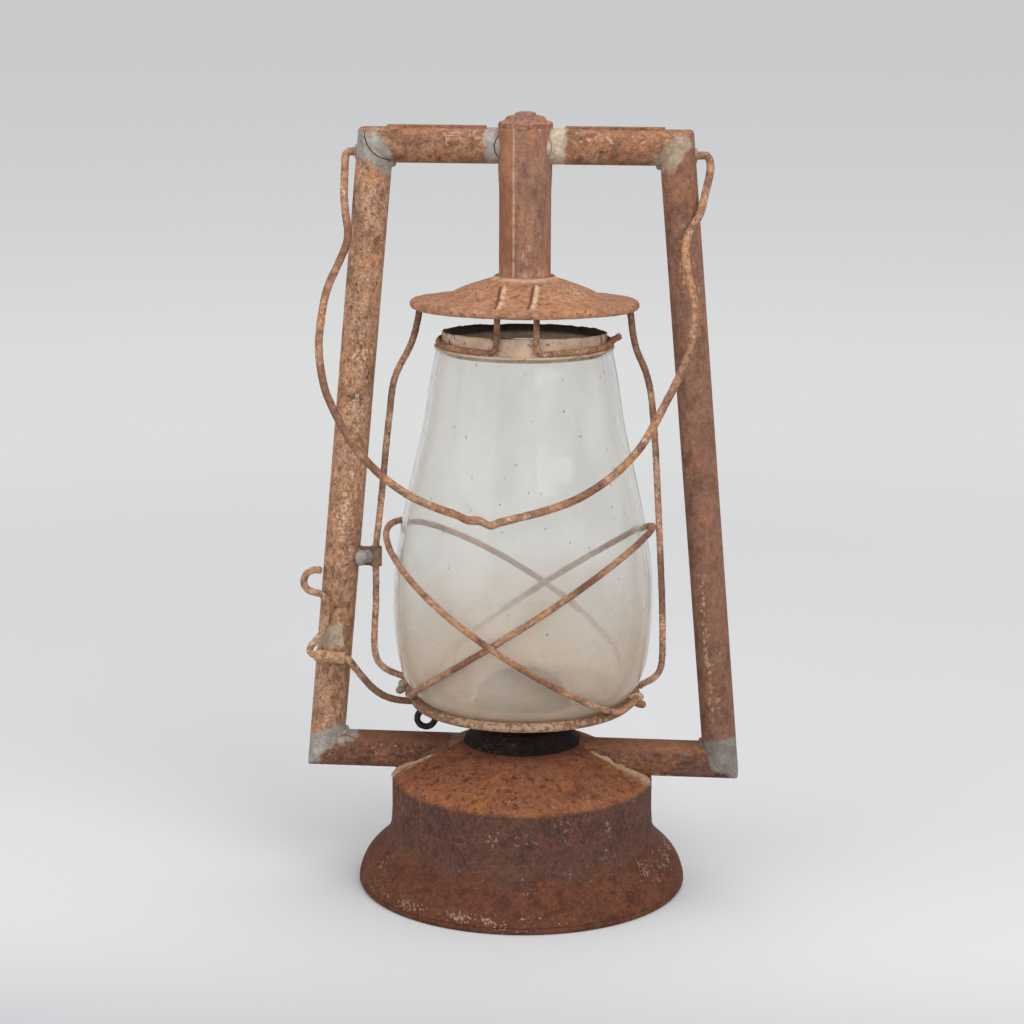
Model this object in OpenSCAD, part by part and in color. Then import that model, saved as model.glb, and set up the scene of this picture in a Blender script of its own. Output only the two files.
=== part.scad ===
// Side-lift tubular kerosene lantern.
// Millimetres, +Z up, origin on the floor under the crown tube.
// +X is the lantern's right side, -Y is its front.

/* [Frame tubes] */
// Width of a frame tube seen from the front
tube_w = 15; // [14.6:0.1:15.2]
// Depth of a frame tube from front to back
tube_d = 19; // [18:0.1:19.2]
// Sheet thickness of the tubes
tube_wall = 0.8; // [0.6:0.1:1]
// Height of the top tubes' centre line
top_z = 327; // [325:0.5:330]
// Height of the lower tubes' centre line
low_z = 58; // [57.5:0.1:58.5]
// Half spread of the side tubes at the top
top_half = 64.3; // [64:0.1:65]
// Half spread of the side tubes at the bottom
low_half = 88.2; // [88:0.1:89]
// Outer radius of the crown tube
crown_r = 11.1; // [10.8:0.1:11.4]

/* [Fount and foot] */
// Outer radius of the foot's wired rim
foot_r = 72.8; // [70:0.1:75]
// Outer radius of the fount's drum
drum_r = 57.9; // [57:0.1:58.5]
// Height where the foot's flare ends on the drum
foot_top = 28; // [27:0.1:29]
// Height of the fount's shoulder
shoulder_z = 48.2; // [47:0.1:49]
// Height of the dome where the air chamber sits
dome_z = 65.2; // [64.8:0.1:65.4]
// Thickness of the fount's sheet
sheet_t = 0.8; // [0.6:0.1:1]

/* [Globe and cage] */
// Height of the globe's foot above the floor
globe_z = 83; // [82.5:0.1:83.2]
// Thickness of the glass
glass_t = 2.4; // [1.8:0.1:3]
// Outer radius of the canopy
canopy_r = 49.4; // [48:0.1:50]
// Height of the canopy's lower rim
canopy_z = 258; // [257:0.1:259]
// Radius of the plate ring's centre line
ring_r = 47.8; // [47.7:0.1:48]

/* [Wires] */
// Diameter of the bail wire
bail_d = 3.4; // [3:0.1:3.6]
// Diameter of the lever wire
lever_d = 3.2; // [2.8:0.1:3.4]
// Diameter of the guard wires
guard_d = 2.9; // [2.4:0.1:3]
// Diameter of the cross wires
cross_d = 2.8; // [2.4:0.1:2.8]
// Diameter of the globe's spring wire
spring_d = 2.7; // [2.2:0.1:2.8]
// Forward tilt of the bail at rest
bail_tilt = 21.5; // [21.5:0.5:24]

/* [Burner] */
// Height of the wick winder's shaft
shaft_z = 76.6; // [76.4:0.1:76.6]
// Direction of the winder, turned from the left towards the front
winder_turn = 9.5; // [0:0.5:12]
// Width of the wick
wick_w = 17; // [14:0.5:17]
// Thickness of the wick
wick_t = 3.4; // [2.6:0.1:3.4]

/* [Hidden] */
$fn = 96;
// Working sizes that only cut or reach past a solid
big = 200;
eps = 0.01;
// Radial play of a turning or sliding fit
fit = 0.06;
// Gap that keeps pieces of different bodies apart
air = 0.3;
// Lean of the side tubes from upright
lean = atan((low_half - top_half) / (top_z - low_z));
// Shift between the round edges of a tube's section
tube_flat = tube_d - tube_w;
// Foot: its wired rim, worn flat below, and the drum's lower edge
rim_wire_r = 1.9;
rim_flat = 0.3;
drum_z = 19;
// Dome and air chamber
dome_r = 25;
dome_bow = 0.25;
chamber_r = 24;
chamber_top = 73;
// Burner
burner_r = 17;
burner_top = 81.4;
gallery_r = 22;
cone_top = 97;
tube_play = 0.4;
tube_skin = 0.5;
tube_low = 60;
tube_top = 90;
wick_low = 30;
wick_top = 91.5;
gallery_hole_r = 1.1;
gallery_holes = 12;
// Wick winder
shaft_r = 1.5;
handle_r = 4;
handle_wire_r = 1.2;
handle_x = -43;
wheel_r = 3.4;
wheel_w = 2;
wheel_at = [-5.5, 3.5];
wheel_teeth = 11;
tooth_h = 0.8;
shaft_y = -(wick_t / 2 + air + wheel_r);
// Plate and ring under the globe
plate_z = globe_z - 0.8;
plate_hole_r = 24;
ring_wire_r = 2;
ring_z = globe_z + 1.2;
// Globe mouth
globe_h = 158;
mouth_z = globe_z + globe_h;
collar_r = 35.6;
collar_h = 5.8;
hoop_z = mouth_z + 2.4;
hoop_r = collar_r + spring_d / 2 + 0.05;
// Canopy
neck_z = canopy_z + 14;
sleeve_r = crown_r + fit + 0.8;
// Bail axis on the side tubes
bail_z = 323.8;
pin_reach = [67.5, 74];
// Lift lever axis in front of the left side tube
lever_y = -tube_d / 2 - lever_d / 2 - 0.9;
lever_z = 103.2;
// Guide clip on the left side tube
clip_z = 146.5;
clip_h = 8.5;
guard_x = 65.3;
// Filler on the rear shoulder, with heights along its own axis
filler_r = 43;
filler_tilt = 27.2;
neck_r = 9;
neck_wall = 1.4;
neck_low = -3;
neck_top = 6;
flange_h = 1.4;
cap_r = 11.5;
cap_low = 1.9;
cap_roof = 7.9;
cap_top = 9.9;
knurl_r = 0.9;

// Colours of the rusted sheet, the wires, the glass and the rest
rust = "#8a5738";
dark_rust = "#6e4433";
wire_rust = "#a5673c";
tin = "#9a9488";
cream = "#c9b79c";
soot = "#2e2622";
glass = "#c8cbc6";
cotton = "#e4dcc6";
brass = "#8f7a4a";

// Half distance of the side tubes' centre lines at a height
function side_x(z) = top_half + (top_z - z) * tan(lean);
// Height of the fount's dome at a radius
function dome_at(r) =
    let (u = (drum_r - r) / (drum_r - dome_r))
    shoulder_z + (dome_z - shoulder_z) * u * (1 + dome_bow * (1 - u));

// Curve through points
function blend(p0, p1, p2, p3, t) =
    p1 + 0.5 * t * (p2 - p0 + t * (2 * p0 - 5 * p1 + 4 * p2 - p3 + t * (3 * (p1 - p2) + p3 - p0)));
function smooth(p, steps) =
    let (last = len(p) - 1)
    [for (i = [0:last - 1], k = [0:steps - 1])
        blend(p[max(i - 1, 0)], p[i], p[i + 1], p[min(i + 2, last)], k / steps), p[last]];

// Sheet metal along a path, with its thickness on the path's left
function left_of(p, i) =
    let (d = p[min(i + 1, len(p) - 1)] - p[max(i - 1, 0)])
    [-d[1], d[0]] / norm(d);
function sheet(p, t) =
    concat(p, [for (i = [len(p) - 1:-1:0]) p[i] + t * left_of(p, i)]);

// Wire swept along a centre line; up is never parallel to the line
function ring_at(p, up, i, r, n, closed) =
    let (last = len(p) - 1,
        a = closed ? p[(i + last) % (last + 1)] : p[max(i - 1, 0)],
        b = closed ? p[(i + 1) % (last + 1)] : p[min(i + 1, last)],
        d = (b - a) / norm(b - a),
        side = cross(d, is_list(up[0]) ? up[i] : up),
        u = side / norm(side),
        v = cross(d, u))
    [for (k = [0:n - 1]) p[i] + r * (cos(360 * k / n) * u + sin(360 * k / n) * v)];
module wire(p, d, up, n = 10, closed = false) {
    count = len(p);
    points = [for (i = [0:count - 1]) each ring_at(p, up, i, d / 2, n, closed)];
    skin = [for (i = [0:count - (closed ? 1 : 2)], k = [0:n - 1])
        let (a = i * n + k, b = i * n + (k + 1) % n, c = ((i + 1) % count) * n)
        each [[a, c + (k + 1) % n, b], [a, c + k, c + (k + 1) % n]]];
    ends = closed ? [] : [[for (k = [0:n - 1]) k], [for (k = [n - 1:-1:0]) (count - 1) * n + k]];
    polyhedron(points = points, faces = concat(skin, ends), convexity = 8);
}
// Round bar along X between two places
module bar_x(x0, x1, r) {
    translate([x0, 0, 0])
        rotate([0, 90, 0])
            cylinder(r = r, h = x1 - x0);
}
// Half space on the local +Z side of a turned plane
module half_space(at, turn) {
    translate(at)
        rotate([0, turn, 0])
            translate([-big, -big, 0])
                cube([2 * big, 2 * big, 2 * big]);
}

// Rounded section of the frame tubes: width in X, depth in Y
module tube_section(grow = 0) {
    r = tube_w / 2 + grow;
    for (y = [-1, 1])
        translate([0, y * tube_flat / 2])
            circle(r = r);
    square([2 * r, tube_flat], center = true);
}
module hollow_section() {
    difference() {
        tube_section();
        tube_section(-tube_wall);
    }
}
// Places a section along the right side tube, starting below the bottom corner
module along_side() {
    translate([low_half, 0, low_z])
        rotate([0, -lean, 0])
            translate([0, 0, -2 * tube_w])
                linear_extrude(height = top_z - low_z + 4 * tube_w)
                    children();
}
// Solid of the right side tube, used to cut what is soldered on it
module side_solid(grow = 0) {
    along_side()
        tube_section(grow);
}
// Outer corners of the right half of the frame, seen from the front, and the prism that rounds one off
corner_r = 2.2;
corner_steps = 6;
function outer_corner(z) = [side_x(z) + tube_w / 2 / cos(lean), z];
top_corner = outer_corner(top_z + tube_w / 2);
low_corner = outer_corner(low_z - tube_w / 2);
module corner_round(tip, edges) {
    half = (edges[1] - edges[0]) / 2;
    middle = edges[0] + half;
    way = [cos(middle), sin(middle)];
    centre = tip + way * corner_r / sin(half);
    arc = [for (k = [0:corner_steps])
        let (a = edges[0] - 90 + (2 * half - 180) * k / corner_steps)
        centre + corner_r * [cos(a), sin(a)]];
    rotate([90, 0, 0])
        linear_extrude(height = 2 * tube_d, center = true)
            polygon(concat(arc, [tip - 2 * corner_r * way]));
}
module side_tube() {
    difference() {
        along_side()
            hollow_section();
        half_space([top_half, 0, top_z], -45 - lean / 2);
        half_space([low_half, 0, low_z], -135 - lean / 2);
        corner_round(top_corner, [180, 270 + lean]);
        corner_round(low_corner, [90 + lean, 180]);
        translate([0, 0, bail_z])
            bar_x(top_half, top_half + 2 * tube_w, eyelet_spigot_r);
    }
}
// Folded seam along the top of a top tube
strip_x = [17, 59];
strip_d = 6;
strip_h = 0.9;
strip_sunk = 0.5;
module top_tube() {
    difference() {
        union() {
            translate([0, 0, top_z])
                rotate([0, 90, 0])
                    linear_extrude(height = top_half + 2 * tube_w)
                        hollow_section();
            translate([strip_x[0], -strip_d / 2, top_z + tube_w / 2 - strip_sunk])
                cube([strip_x[1] - strip_x[0], strip_d, strip_h + strip_sunk]);
        }
        half_space([top_half, 0, top_z], 135 - lean / 2);
        cylinder(r = crown_r, h = 2 * big);
        corner_round(top_corner, [180, 270 + lean]);
    }
}
module lower_tube() {
    difference() {
        translate([0, 0, low_z])
            rotate([0, 90, 0])
                linear_extrude(height = low_half + 2 * tube_w)
                    hollow_section();
        half_space([low_half, 0, low_z], 45 - lean / 2);
        fount_mass();
        chamber_mass();
        corner_round(low_corner, [90 + lean, 180]);
    }
}
module left_side_tube() { color(rust) mirror([1, 0, 0]) side_tube(); }
module right_side_tube() { color(rust) side_tube(); }
module left_top_tube() { color(rust) mirror([1, 0, 0]) top_tube(); }
module right_top_tube() { color(rust) top_tube(); }
module left_lower_tube() { color(dark_rust) mirror([1, 0, 0]) lower_tube(); }
module right_lower_tube() { color(dark_rust) lower_tube(); }

// Crown tube, open below inside the canopy, with side ports and a lapped seam
crown_z = canopy_z + 0.5;
crown_top = top_z + 8;
seam_w = 0.5;
seam_deep = 0.35;
seam_turn = -21;
port_r = 5.5;
module crown_tube() {
    color(rust)
        difference() {
            translate([0, 0, crown_z])
                cylinder(r = crown_r, h = crown_top - crown_z);
            translate([0, 0, crown_z - 1])
                cylinder(r = crown_r - tube_wall, h = crown_top - crown_z + 2);
            translate([0, 0, top_z])
                bar_x(-2 * crown_r, 2 * crown_r, port_r);
            rotate([0, 0, seam_turn])
                translate([-seam_w / 2, -crown_r - 1, crown_z - 1])
                    cube([seam_w, 1 + seam_deep, crown_top - crown_z + 2]);
        }
}

// Stepped cap, from the flange up to its button
cap_path = [[11.6, 0], [11.6, 2.1], [10.9, 2.7], [9.2, 3.1], [8.6, 3.8], [8.2, 4.6], [7, 5.1], [5, 5.2],
    [4.6, 5.7], [4.2, 6.4], [2.6, 6.9], [0, 7.1]];
module crown_cap() {
    color(rust)
        translate([0, 0, top_z + tube_w / 2 + 0.1])
            rotate_extrude()
                polygon(concat(cap_path, [[0, 0.4], [crown_r, 0.4], [crown_r, 0]]));
}

// Foot and fount
// Side of the foot from its rim up to the drum: bowed below, hollow above
foot_points = [[foot_r - 0.1, 3.2], [foot_r - 1.3, 7.2], [foot_r - 3.2, 11], [foot_r - 6, 14.3],
    [foot_r - 9.4, 17.3], [drum_r + 2.7, 19.8], [drum_r + 1.2, 22.6], [drum_r + 0.6, 25.2],
    [drum_r + 0.2, foot_top]];
module base_skirt() {
    color(rust)
        difference() {
            rotate_extrude() {
                polygon(sheet(smooth(foot_points, 3), sheet_t));
                translate([foot_r - rim_wire_r, rim_wire_r - rim_flat])
                    circle(r = rim_wire_r);
            }
            cylinder(r = drum_r, h = big);
            translate([0, 0, -rim_wire_r])
                cylinder(r = big, h = rim_wire_r);
        }
}
dome_path = [for (i = [0:8])
    let (r = drum_r - 1 + (dome_r - drum_r + 1) * i / 8)
    [r, dome_at(r)]];
// Seam between the fount's drum and its dome
seam_z = shoulder_z - 1.5;
drum_path = [[drum_r, drum_z], [drum_r, seam_z]];
lid_path = concat([[drum_r, seam_z], [drum_r, seam_z + 0.3], [drum_r - 0.3, shoulder_z - 0.3]], dome_path);
// Fount filled to its axis, used to cut what sits on it
module fount_mass() {
    rotate_extrude()
        polygon(concat([drum_path[0]], lid_path, [[0, dome_z], [0, drum_z]]));
}
module place_filler() {
    translate([0, filler_r, dome_at(filler_r)])
        rotate([-filler_tilt, 0, 0])
            children();
}
module fount_drum() {
    color(dark_rust)
        rotate_extrude()
            polygon(sheet(drum_path, sheet_t));
}
module fount_dome() {
    color(rust)
        difference() {
            rotate_extrude()
                polygon(sheet(lid_path, sheet_t));
            place_filler()
                translate([0, 0, -8])
                    cylinder(r = neck_r, h = 16);
        }
}
// Bottom disc of the tank, dished for stiffness and turned down at its edge
module fount_bottom() {
    edge = drum_r - sheet_t;
    disc = [[edge, drum_z], [edge, drum_z + 4], [edge - 1.5, drum_z + 5], [40, drum_z + 5], [30, drum_z + 3],
        [eps, drum_z + 3]];
    color(dark_rust)
        rotate_extrude()
            polygon(sheet(disc, sheet_t));
}

// Air chamber: lip on the dome, coned side and a neck for the burner
chamber_path = [[dome_r + 1.5, dome_at(dome_r + 1.5) + 0.1], [dome_r, dome_z + 0.9],
    [chamber_r, dome_z + 1.6], [chamber_r - 1, dome_z + 4.2], [chamber_r - 2.6, chamber_top - 1.4],
    [chamber_r - 5, chamber_top - 0.2], [burner_r, chamber_top], [burner_r - 0.9, chamber_top],
    [burner_r - 0.9, chamber_top + 1.4]];
// Air chamber filled to its axis, used to cut the tubes that end on it
module chamber_mass() {
    rotate_extrude()
        polygon(concat([[chamber_path[0][0], drum_z]], chamber_path, [[0, chamber_top + 1.4], [0, drum_z]]));
}
module air_chamber() {
    color(soot)
        difference() {
            rotate_extrude()
                polygon(sheet(chamber_path, sheet_t));
            fount_mass();
        }
}

// Burner, turned so that the wick lies along the winder's shaft
module burner_frame() {
    rotate([0, 0, winder_turn])
        children();
}
module shaft_line(x0, x1, r) {
    translate([0, shaft_y, shaft_z])
        bar_x(x0, x1, r);
}
module wick_tube_solid(grow) {
    w = wick_w + 2 * (tube_play + grow);
    t = wick_t + 2 * (tube_play + grow);
    translate([-w / 2, -t / 2, tube_low])
        cube([w, t, tube_top - tube_low]);
}
module burner_body() {
    color(brass)
        burner_frame()
            difference() {
                union() {
                    translate([0, 0, chamber_top])
                        cylinder(r = burner_r, h = burner_top - chamber_top);
                    translate([0, 0, burner_top - sheet_t])
                        cylinder(r = gallery_r, h = sheet_t);
                }
                translate([0, 0, chamber_top - 1])
                    cylinder(r = burner_r - 0.8, h = burner_top - chamber_top + 1 - sheet_t);
                wick_tube_solid(tube_skin);
                shaft_line(-2 * burner_r, 0, shaft_r + fit);
                for (i = [0:gallery_holes - 1])
                    rotate([0, 0, 360 * (i + 0.5) / gallery_holes])
                        translate([gallery_r - 2.8, 0, burner_top - 2])
                            cylinder(r = gallery_hole_r, h = 4);
            }
}
module wick_tube() {
    color(brass)
        burner_frame()
            difference() {
                wick_tube_solid(tube_skin);
                translate([-wick_w / 2 - tube_play, -wick_t / 2 - tube_play, 0])
                    cube([wick_w + 2 * tube_play, wick_t + 2 * tube_play, big]);
                wheel_window();
            }
}
// Window in the wick tube through which the wheels grip the wick
module wheel_window() {
    half = wheel_at[1] + wheel_w + 2.5;
    translate([-half, -wick_t / 2 - 3, shaft_z - wheel_r - 1])
        cube([2 * half, 3, 2 * wheel_r + 2]);
}
module burner_cone() {
    dome = concat([for (a = [0:9:81])
        [(gallery_r - 1.2) * pow(cos(a), 0.8), burner_top + (cone_top - burner_top) * sin(a)]],
        [[1, cone_top]]);
    color(brass)
        burner_frame()
            difference() {
                rotate_extrude()
                    polygon(sheet(dome, 0.6));
                cylinder(r = big, h = burner_top);
                translate([-wick_w / 2 - 1.2, -wick_t / 2 - 1, burner_top])
                    cube([wick_w + 2.4, wick_t + 2, 30]);
            }
}
// Shaft of the wick winder with its ring handle
module winder_shaft() {
    color(soot)
        burner_frame() {
            shaft_line(handle_x + handle_r, 8, shaft_r);
            translate([handle_x, shaft_y, shaft_z])
                rotate([90, 0, 0])
                    rotate_extrude()
                        translate([handle_r, 0])
                            circle(r = handle_wire_r);
        }
}
module winder_wheels() {
    tooth = 180 / wheel_teeth;
    outline = [for (i = [0:2 * wheel_teeth - 1])
        let (r = i % 2 == 0 ? wheel_r : wheel_r - tooth_h)
        r * [cos(i * tooth), sin(i * tooth)]];
    color(brass)
        burner_frame()
            for (x = wheel_at)
                translate([x, shaft_y, shaft_z])
                    rotate([0, 90, 0])
                        linear_extrude(height = wheel_w)
                            difference() {
                                polygon(outline);
                                circle(r = shaft_r);
                            }
}
module wick() {
    color(cotton)
        burner_frame()
            translate([-wick_w / 2, -wick_t / 2, wick_low])
                cube([wick_w, wick_t, wick_top - wick_low]);
}

// Filler neck, its cap and the cap's cork washer
module filler_neck() {
    color(rust)
        place_filler()
            difference() {
                union() {
                    translate([0, 0, neck_low])
                        cylinder(r = neck_r, h = neck_top - neck_low);
                    translate([0, 0, 0.2])
                        cylinder(r1 = neck_r + 3, r2 = neck_r + 0.6, h = flange_h);
                }
                translate([0, 0, neck_low - 1])
                    cylinder(r = neck_r - neck_wall, h = neck_top - neck_low + 2);
            }
}
module filler_cap() {
    color(rust)
        place_filler()
            difference() {
                translate([0, 0, cap_low])
                    cylinder(r = cap_r, h = cap_top - cap_low);
                translate([0, 0, cap_low - 1])
                    cylinder(r = neck_r + fit, h = cap_roof - cap_low + 1);
                for (a = [0:15:345])
                    rotate([0, 0, a])
                        translate([cap_r + 0.5, 0, cap_low - 1])
                            cylinder(r = knurl_r, h = cap_top - cap_low + 2);
            }
}
module filler_gasket() {
    color(cotton)
        place_filler()
            translate([0, 0, neck_top + 0.2])
                cylinder(r = neck_r - 0.4, h = cap_roof - neck_top - 0.2);
}

// Eyelets for the bail on the side tubes
eyelet_r = 3.1;
eyelet_spigot_r = 2.5;
eyelet_face = 72.8;
module bail_eyelet() {
    color(tin)
        difference() {
            union() {
                difference() {
                    translate([0, 0, bail_z])
                        bar_x(top_half, eyelet_face, eyelet_r);
                    side_solid();
                }
                translate([0, 0, bail_z])
                    bar_x(top_half + 6, eyelet_face, eyelet_spigot_r);
            }
            translate([0, 0, bail_z])
                bar_x(0, big, bail_d / 2 + fit);
        }
}
module left_bail_eyelet() { mirror([1, 0, 0]) bail_eyelet(); }
module right_bail_eyelet() { bail_eyelet(); }

// Tin clip on the left side tube that guides the left guard
pad_t = 0.7;
pad_r = 4.6;
module guide_clip() {
    hole_r = guard_d / 2 + 0.45;
    color(tin)
        difference() {
            union() {
                intersection() {
                    mirror([1, 0, 0])
                        side_solid(pad_t);
                    translate([0, 0, clip_z])
                        bar_x(-side_x(clip_z) + 2, -guard_x, pad_r);
                }
                translate([-side_x(clip_z), -0.5, clip_z - clip_h / 2])
                    cube([side_x(clip_z) - guard_x - hole_r - 0.2, 1, clip_h]);
                translate([-guard_x, 0, clip_z - clip_h / 2])
                    cylinder(r = hole_r + 0.8, h = clip_h);
            }
            mirror([1, 0, 0])
                side_solid();
            translate([-guard_x, 0, 0])
                cylinder(r = hole_r, h = big);
        }
}

// Tin strap on the left side tube: a pointed plate whose lower edge is rolled over the lever
strap_half = 6.6;
strap_h = 21;
// Places a bar along X on the lever's axis, which is square to the tube
module on_lever_axis() {
    translate([-side_x(lever_z), lever_y, lever_z])
        rotate([0, lean, 0])
            children();
}
module lever_strap() {
    x = side_x(lever_z);
    color(tin)
        difference() {
            union() {
                intersection() {
                    mirror([1, 0, 0])
                        side_solid(pad_t);
                    translate([-x, 0, lever_z])
                        rotate([90, 0, 0])
                            linear_extrude(height = tube_d)
                                polygon([[-strap_half, 0], [strap_half, 0], [strap_half - 1, 5],
                                    [4.5, strap_h], [3, strap_h + 1], [-strap_half, 8]]);
                }
                on_lever_axis()
                    bar_x(-strap_half, strap_half, lever_d / 2 + 1);
            }
            mirror([1, 0, 0])
                side_solid();
            on_lever_axis()
                bar_x(-big, big, lever_d / 2 + fit);
        }
}

// Canopy: bell with a rolled rim and two raised beads at the front
canopy_points = [[canopy_r - 0.6, 1.6], [46.6, 2.8], [42, 3.4], [36.5, 4.2], [32.5, 5.6], [28.6, 7.8],
    [23.8, 9.7], [18, 11.6], [14.2, 12.8], [sleeve_r + 1, 13.7]];
rim_roll_r = 1.3;
bead_r = 1.7;
bead_x = 6.9;
bead_length = 10.5;
bead_slope = 70;
bead_foot = [-39, canopy_z + 3.2];
module canopy() {
    path = [for (p = smooth(canopy_points, 3)) p + [0, canopy_z]];
    color(rust)
        difference() {
            union() {
                rotate_extrude() {
                    polygon(sheet(path, sheet_t));
                    translate([canopy_r - rim_roll_r, canopy_z + rim_roll_r])
                        circle(r = rim_roll_r);
                }
                for (x = [-bead_x, bead_x])
                    translate([x, bead_foot[0], bead_foot[1]])
                        rotate([-bead_slope, 0, 0])
                            canopy_bead();
            }
            cylinder(r = sleeve_r, h = 2 * big);
        }
}
module canopy_bead() {
    cylinder(r = bead_r, h = bead_length);
    sphere(r = bead_r);
    translate([0, 0, bead_length])
        sphere(r = bead_r);
}
module canopy_sleeve() {
    color(rust)
        difference() {
            translate([0, 0, canopy_z + 1])
                cylinder(r = sleeve_r, h = neck_z - canopy_z - 0.6);
            cylinder(r = crown_r + fit, h = 2 * big);
        }
}

// Globe: clear pear-shaped glass
globe_points = [[44.4, 0], [45.3, 2.4], [49.8, 7.2], [54.4, 17.5], [56.8, 38], [56.6, 57], [53.8, 78],
    [48.9, 102], [44, 123], [40.9, 143], [38.6, 155], [38.4, globe_h - 1]];
globe_path = concat(smooth(globe_points, 4), [[38.4, globe_h]]);
function globe_r_at(z) = lookup(z - globe_z, [for (p = globe_path) [p[1], p[0]]]);
module globe() {
    color(glass, 0.35)
        translate([0, 0, globe_z])
            rotate_extrude()
                polygon(sheet(globe_path, glass_t));
}
// Ring on the globe's mouth: a short wall with a flange on the glass
module globe_collar() {
    flange_r = 38.9;
    skirt = 2;
    color(cream)
        translate([0, 0, mouth_z])
            rotate_extrude() {
                translate([collar_r - sheet_t, -skirt])
                    square([sheet_t, skirt + collar_h]);
                translate([collar_r - eps, 0])
                    square([flange_r - collar_r + eps, sheet_t]);
            }
}
// Hoop round the collar, with two arms up into the canopy and twisted ends on the right
arm_x = 8.3;
hoop_step = 9;
function hoop_at(a) = [hoop_r * cos(a), hoop_r * sin(a), hoop_z];
function arm(side) = [[side * arm_x, -34, canopy_z + 2.9], [side * arm_x, -35.2, canopy_z - 2],
    [side * arm_x, -36.3, hoop_z + 5.6], [side * (arm_x + 0.5), -36.2, hoop_z + 1.9]];
function outward(p) = [for (q = p) [q[0], q[1], 0]];
module globe_spring_wire() {
    long_end = [[hoop_r + 1.6, 3.8, hoop_z + 1], [hoop_r + 4.2, 2.2, hoop_z + 2.6]];
    short_end = [[hoop_r + 1.8, -0.6, hoop_z + 1.6], [hoop_r + 4.4, -1.4, hoop_z + 3.6]];
    long_run = smooth(concat(arm(-1), [for (a = [-107:-hoop_step:-350]) hoop_at(a)], long_end), 2);
    short_run = smooth(concat(arm(1), [for (a = [-73:hoop_step:-10]) hoop_at(a)], short_end), 2);
    color(wire_rust) {
        wire(long_run, spring_d, outward(long_run), 8);
        wire(short_run, spring_d, outward(short_run), 8);
    }
}

// Perforated plate under the globe and the rolled wire round its edge
plate_holes = 24;
plate_hole_at = 35;
module globe_plate() {
    color(cream)
        difference() {
            translate([0, 0, plate_z])
                cylinder(r = ring_r - ring_wire_r + 0.3, h = 0.8);
            translate([0, 0, plate_z - 1])
                cylinder(r = plate_hole_r, h = 3);
            for (i = [0:plate_holes - 1])
                rotate([0, 0, 360 * i / plate_holes])
                    translate([plate_hole_at, 0, plate_z - 1])
                        cylinder(r = 1.8, h = 3);
        }
}
module plate_ring() {
    color(cream)
        translate([0, 0, ring_z])
            rotate_extrude()
                translate([ring_r, 0])
                    circle(r = ring_wire_r);
}

// Upright guard wires from the canopy's rim to the low ends of the cross wires
left_guard_route = [[-45.1, 0, 259.4], [-45.9, 0, 254], [-47.6, 0, 246], [-50.4, 0, 238.6], [-54.4, 0, 231.5],
    [-57.2, 0, 224], [-58.4, 0, 214], [-60.3, 0, 198], [-62.4, 0, 175], [-64.4, 0, 158], [-guard_x, 0, 148],
    [-guard_x, 0, 136], [-65.4, 0, 124], [-66.2, 0, 112], [-66, 0, 102.5], [-63.8, 0, 97], [-59.4, 0.6, 93.8],
    [-55.8, 2, 92], [-53.2, 4, 90.5], [-51.9, 6, 88.8]];
right_guard_route = [[45.1, 0, 259.4], [45.9, 0, 254], [46.9, 0, 247], [48.4, 0, 240.5], [51.4, 0, 234],
    [53.8, 0, 227], [55.4, 0, 218], [57, 0, 201], [58.7, 0, 175], [60.2, 0, 148], [61.2, 0, 130],
    [61.7, 0, 112], [61.6, 0, 102], [60.2, 0, 97], [57.4, 0.6, 93.9], [54.8, 2, 92], [52.9, 4, 90.5],
    [51.9, 6, 88.8]];
module guard(route) {
    color(wire_rust)
        wire(smooth(route, 2), guard_d, [0, 1, 0]);
}
module left_guard() { guard(left_guard_route); }
module right_guard() { guard(right_guard_route); }

// Cross wires: tilted loops round the globe that hug the plate ring at their low side
cross_low = ring_z + 1.8;
hug = ring_wire_r + cross_d / 2 + 0.1;
function off_ring(z) = ring_r + sqrt(max(0, hug * hug - pow(z - ring_z, 2)));
function cross_at(a, mean, swing, high, cross_gap, high_gap, low_gap) =
    let (c = cos(a - high),
        z = max(mean + swing * c, cross_low),
        rise = pow(max(c, 0), 2),
        fall = pow(max(-c, 0), 2),
        gap = cross_gap + (high_gap - cross_gap) * rise + (low_gap - cross_gap) * fall,
        r = max(globe_r_at(z) + gap, off_ring(z)))
    [r * cos(a), r * sin(a), z];
module cross_wire(mean, swing, high, cross_gap, high_gap, low_gap) {
    path = [for (a = [0:6:354]) cross_at(a, mean, swing, high, cross_gap, high_gap, low_gap)];
    color(wire_rust)
        wire(path, cross_d, [0, 0, 1], 8, closed = true);
}
inner_gap = cross_d / 2 + 0.3;
outer_gap = inner_gap + cross_d + 0.1;
low_gap = inner_gap + 0.8;
module left_cross_wire() { cross_wire(120.8, 38.9, 174.5, outer_gap, 6.0, low_gap); }
module right_cross_wire() { cross_wire(123.3, 39.4, -6.2, inner_gap, 3.1, low_gap); }

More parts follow.
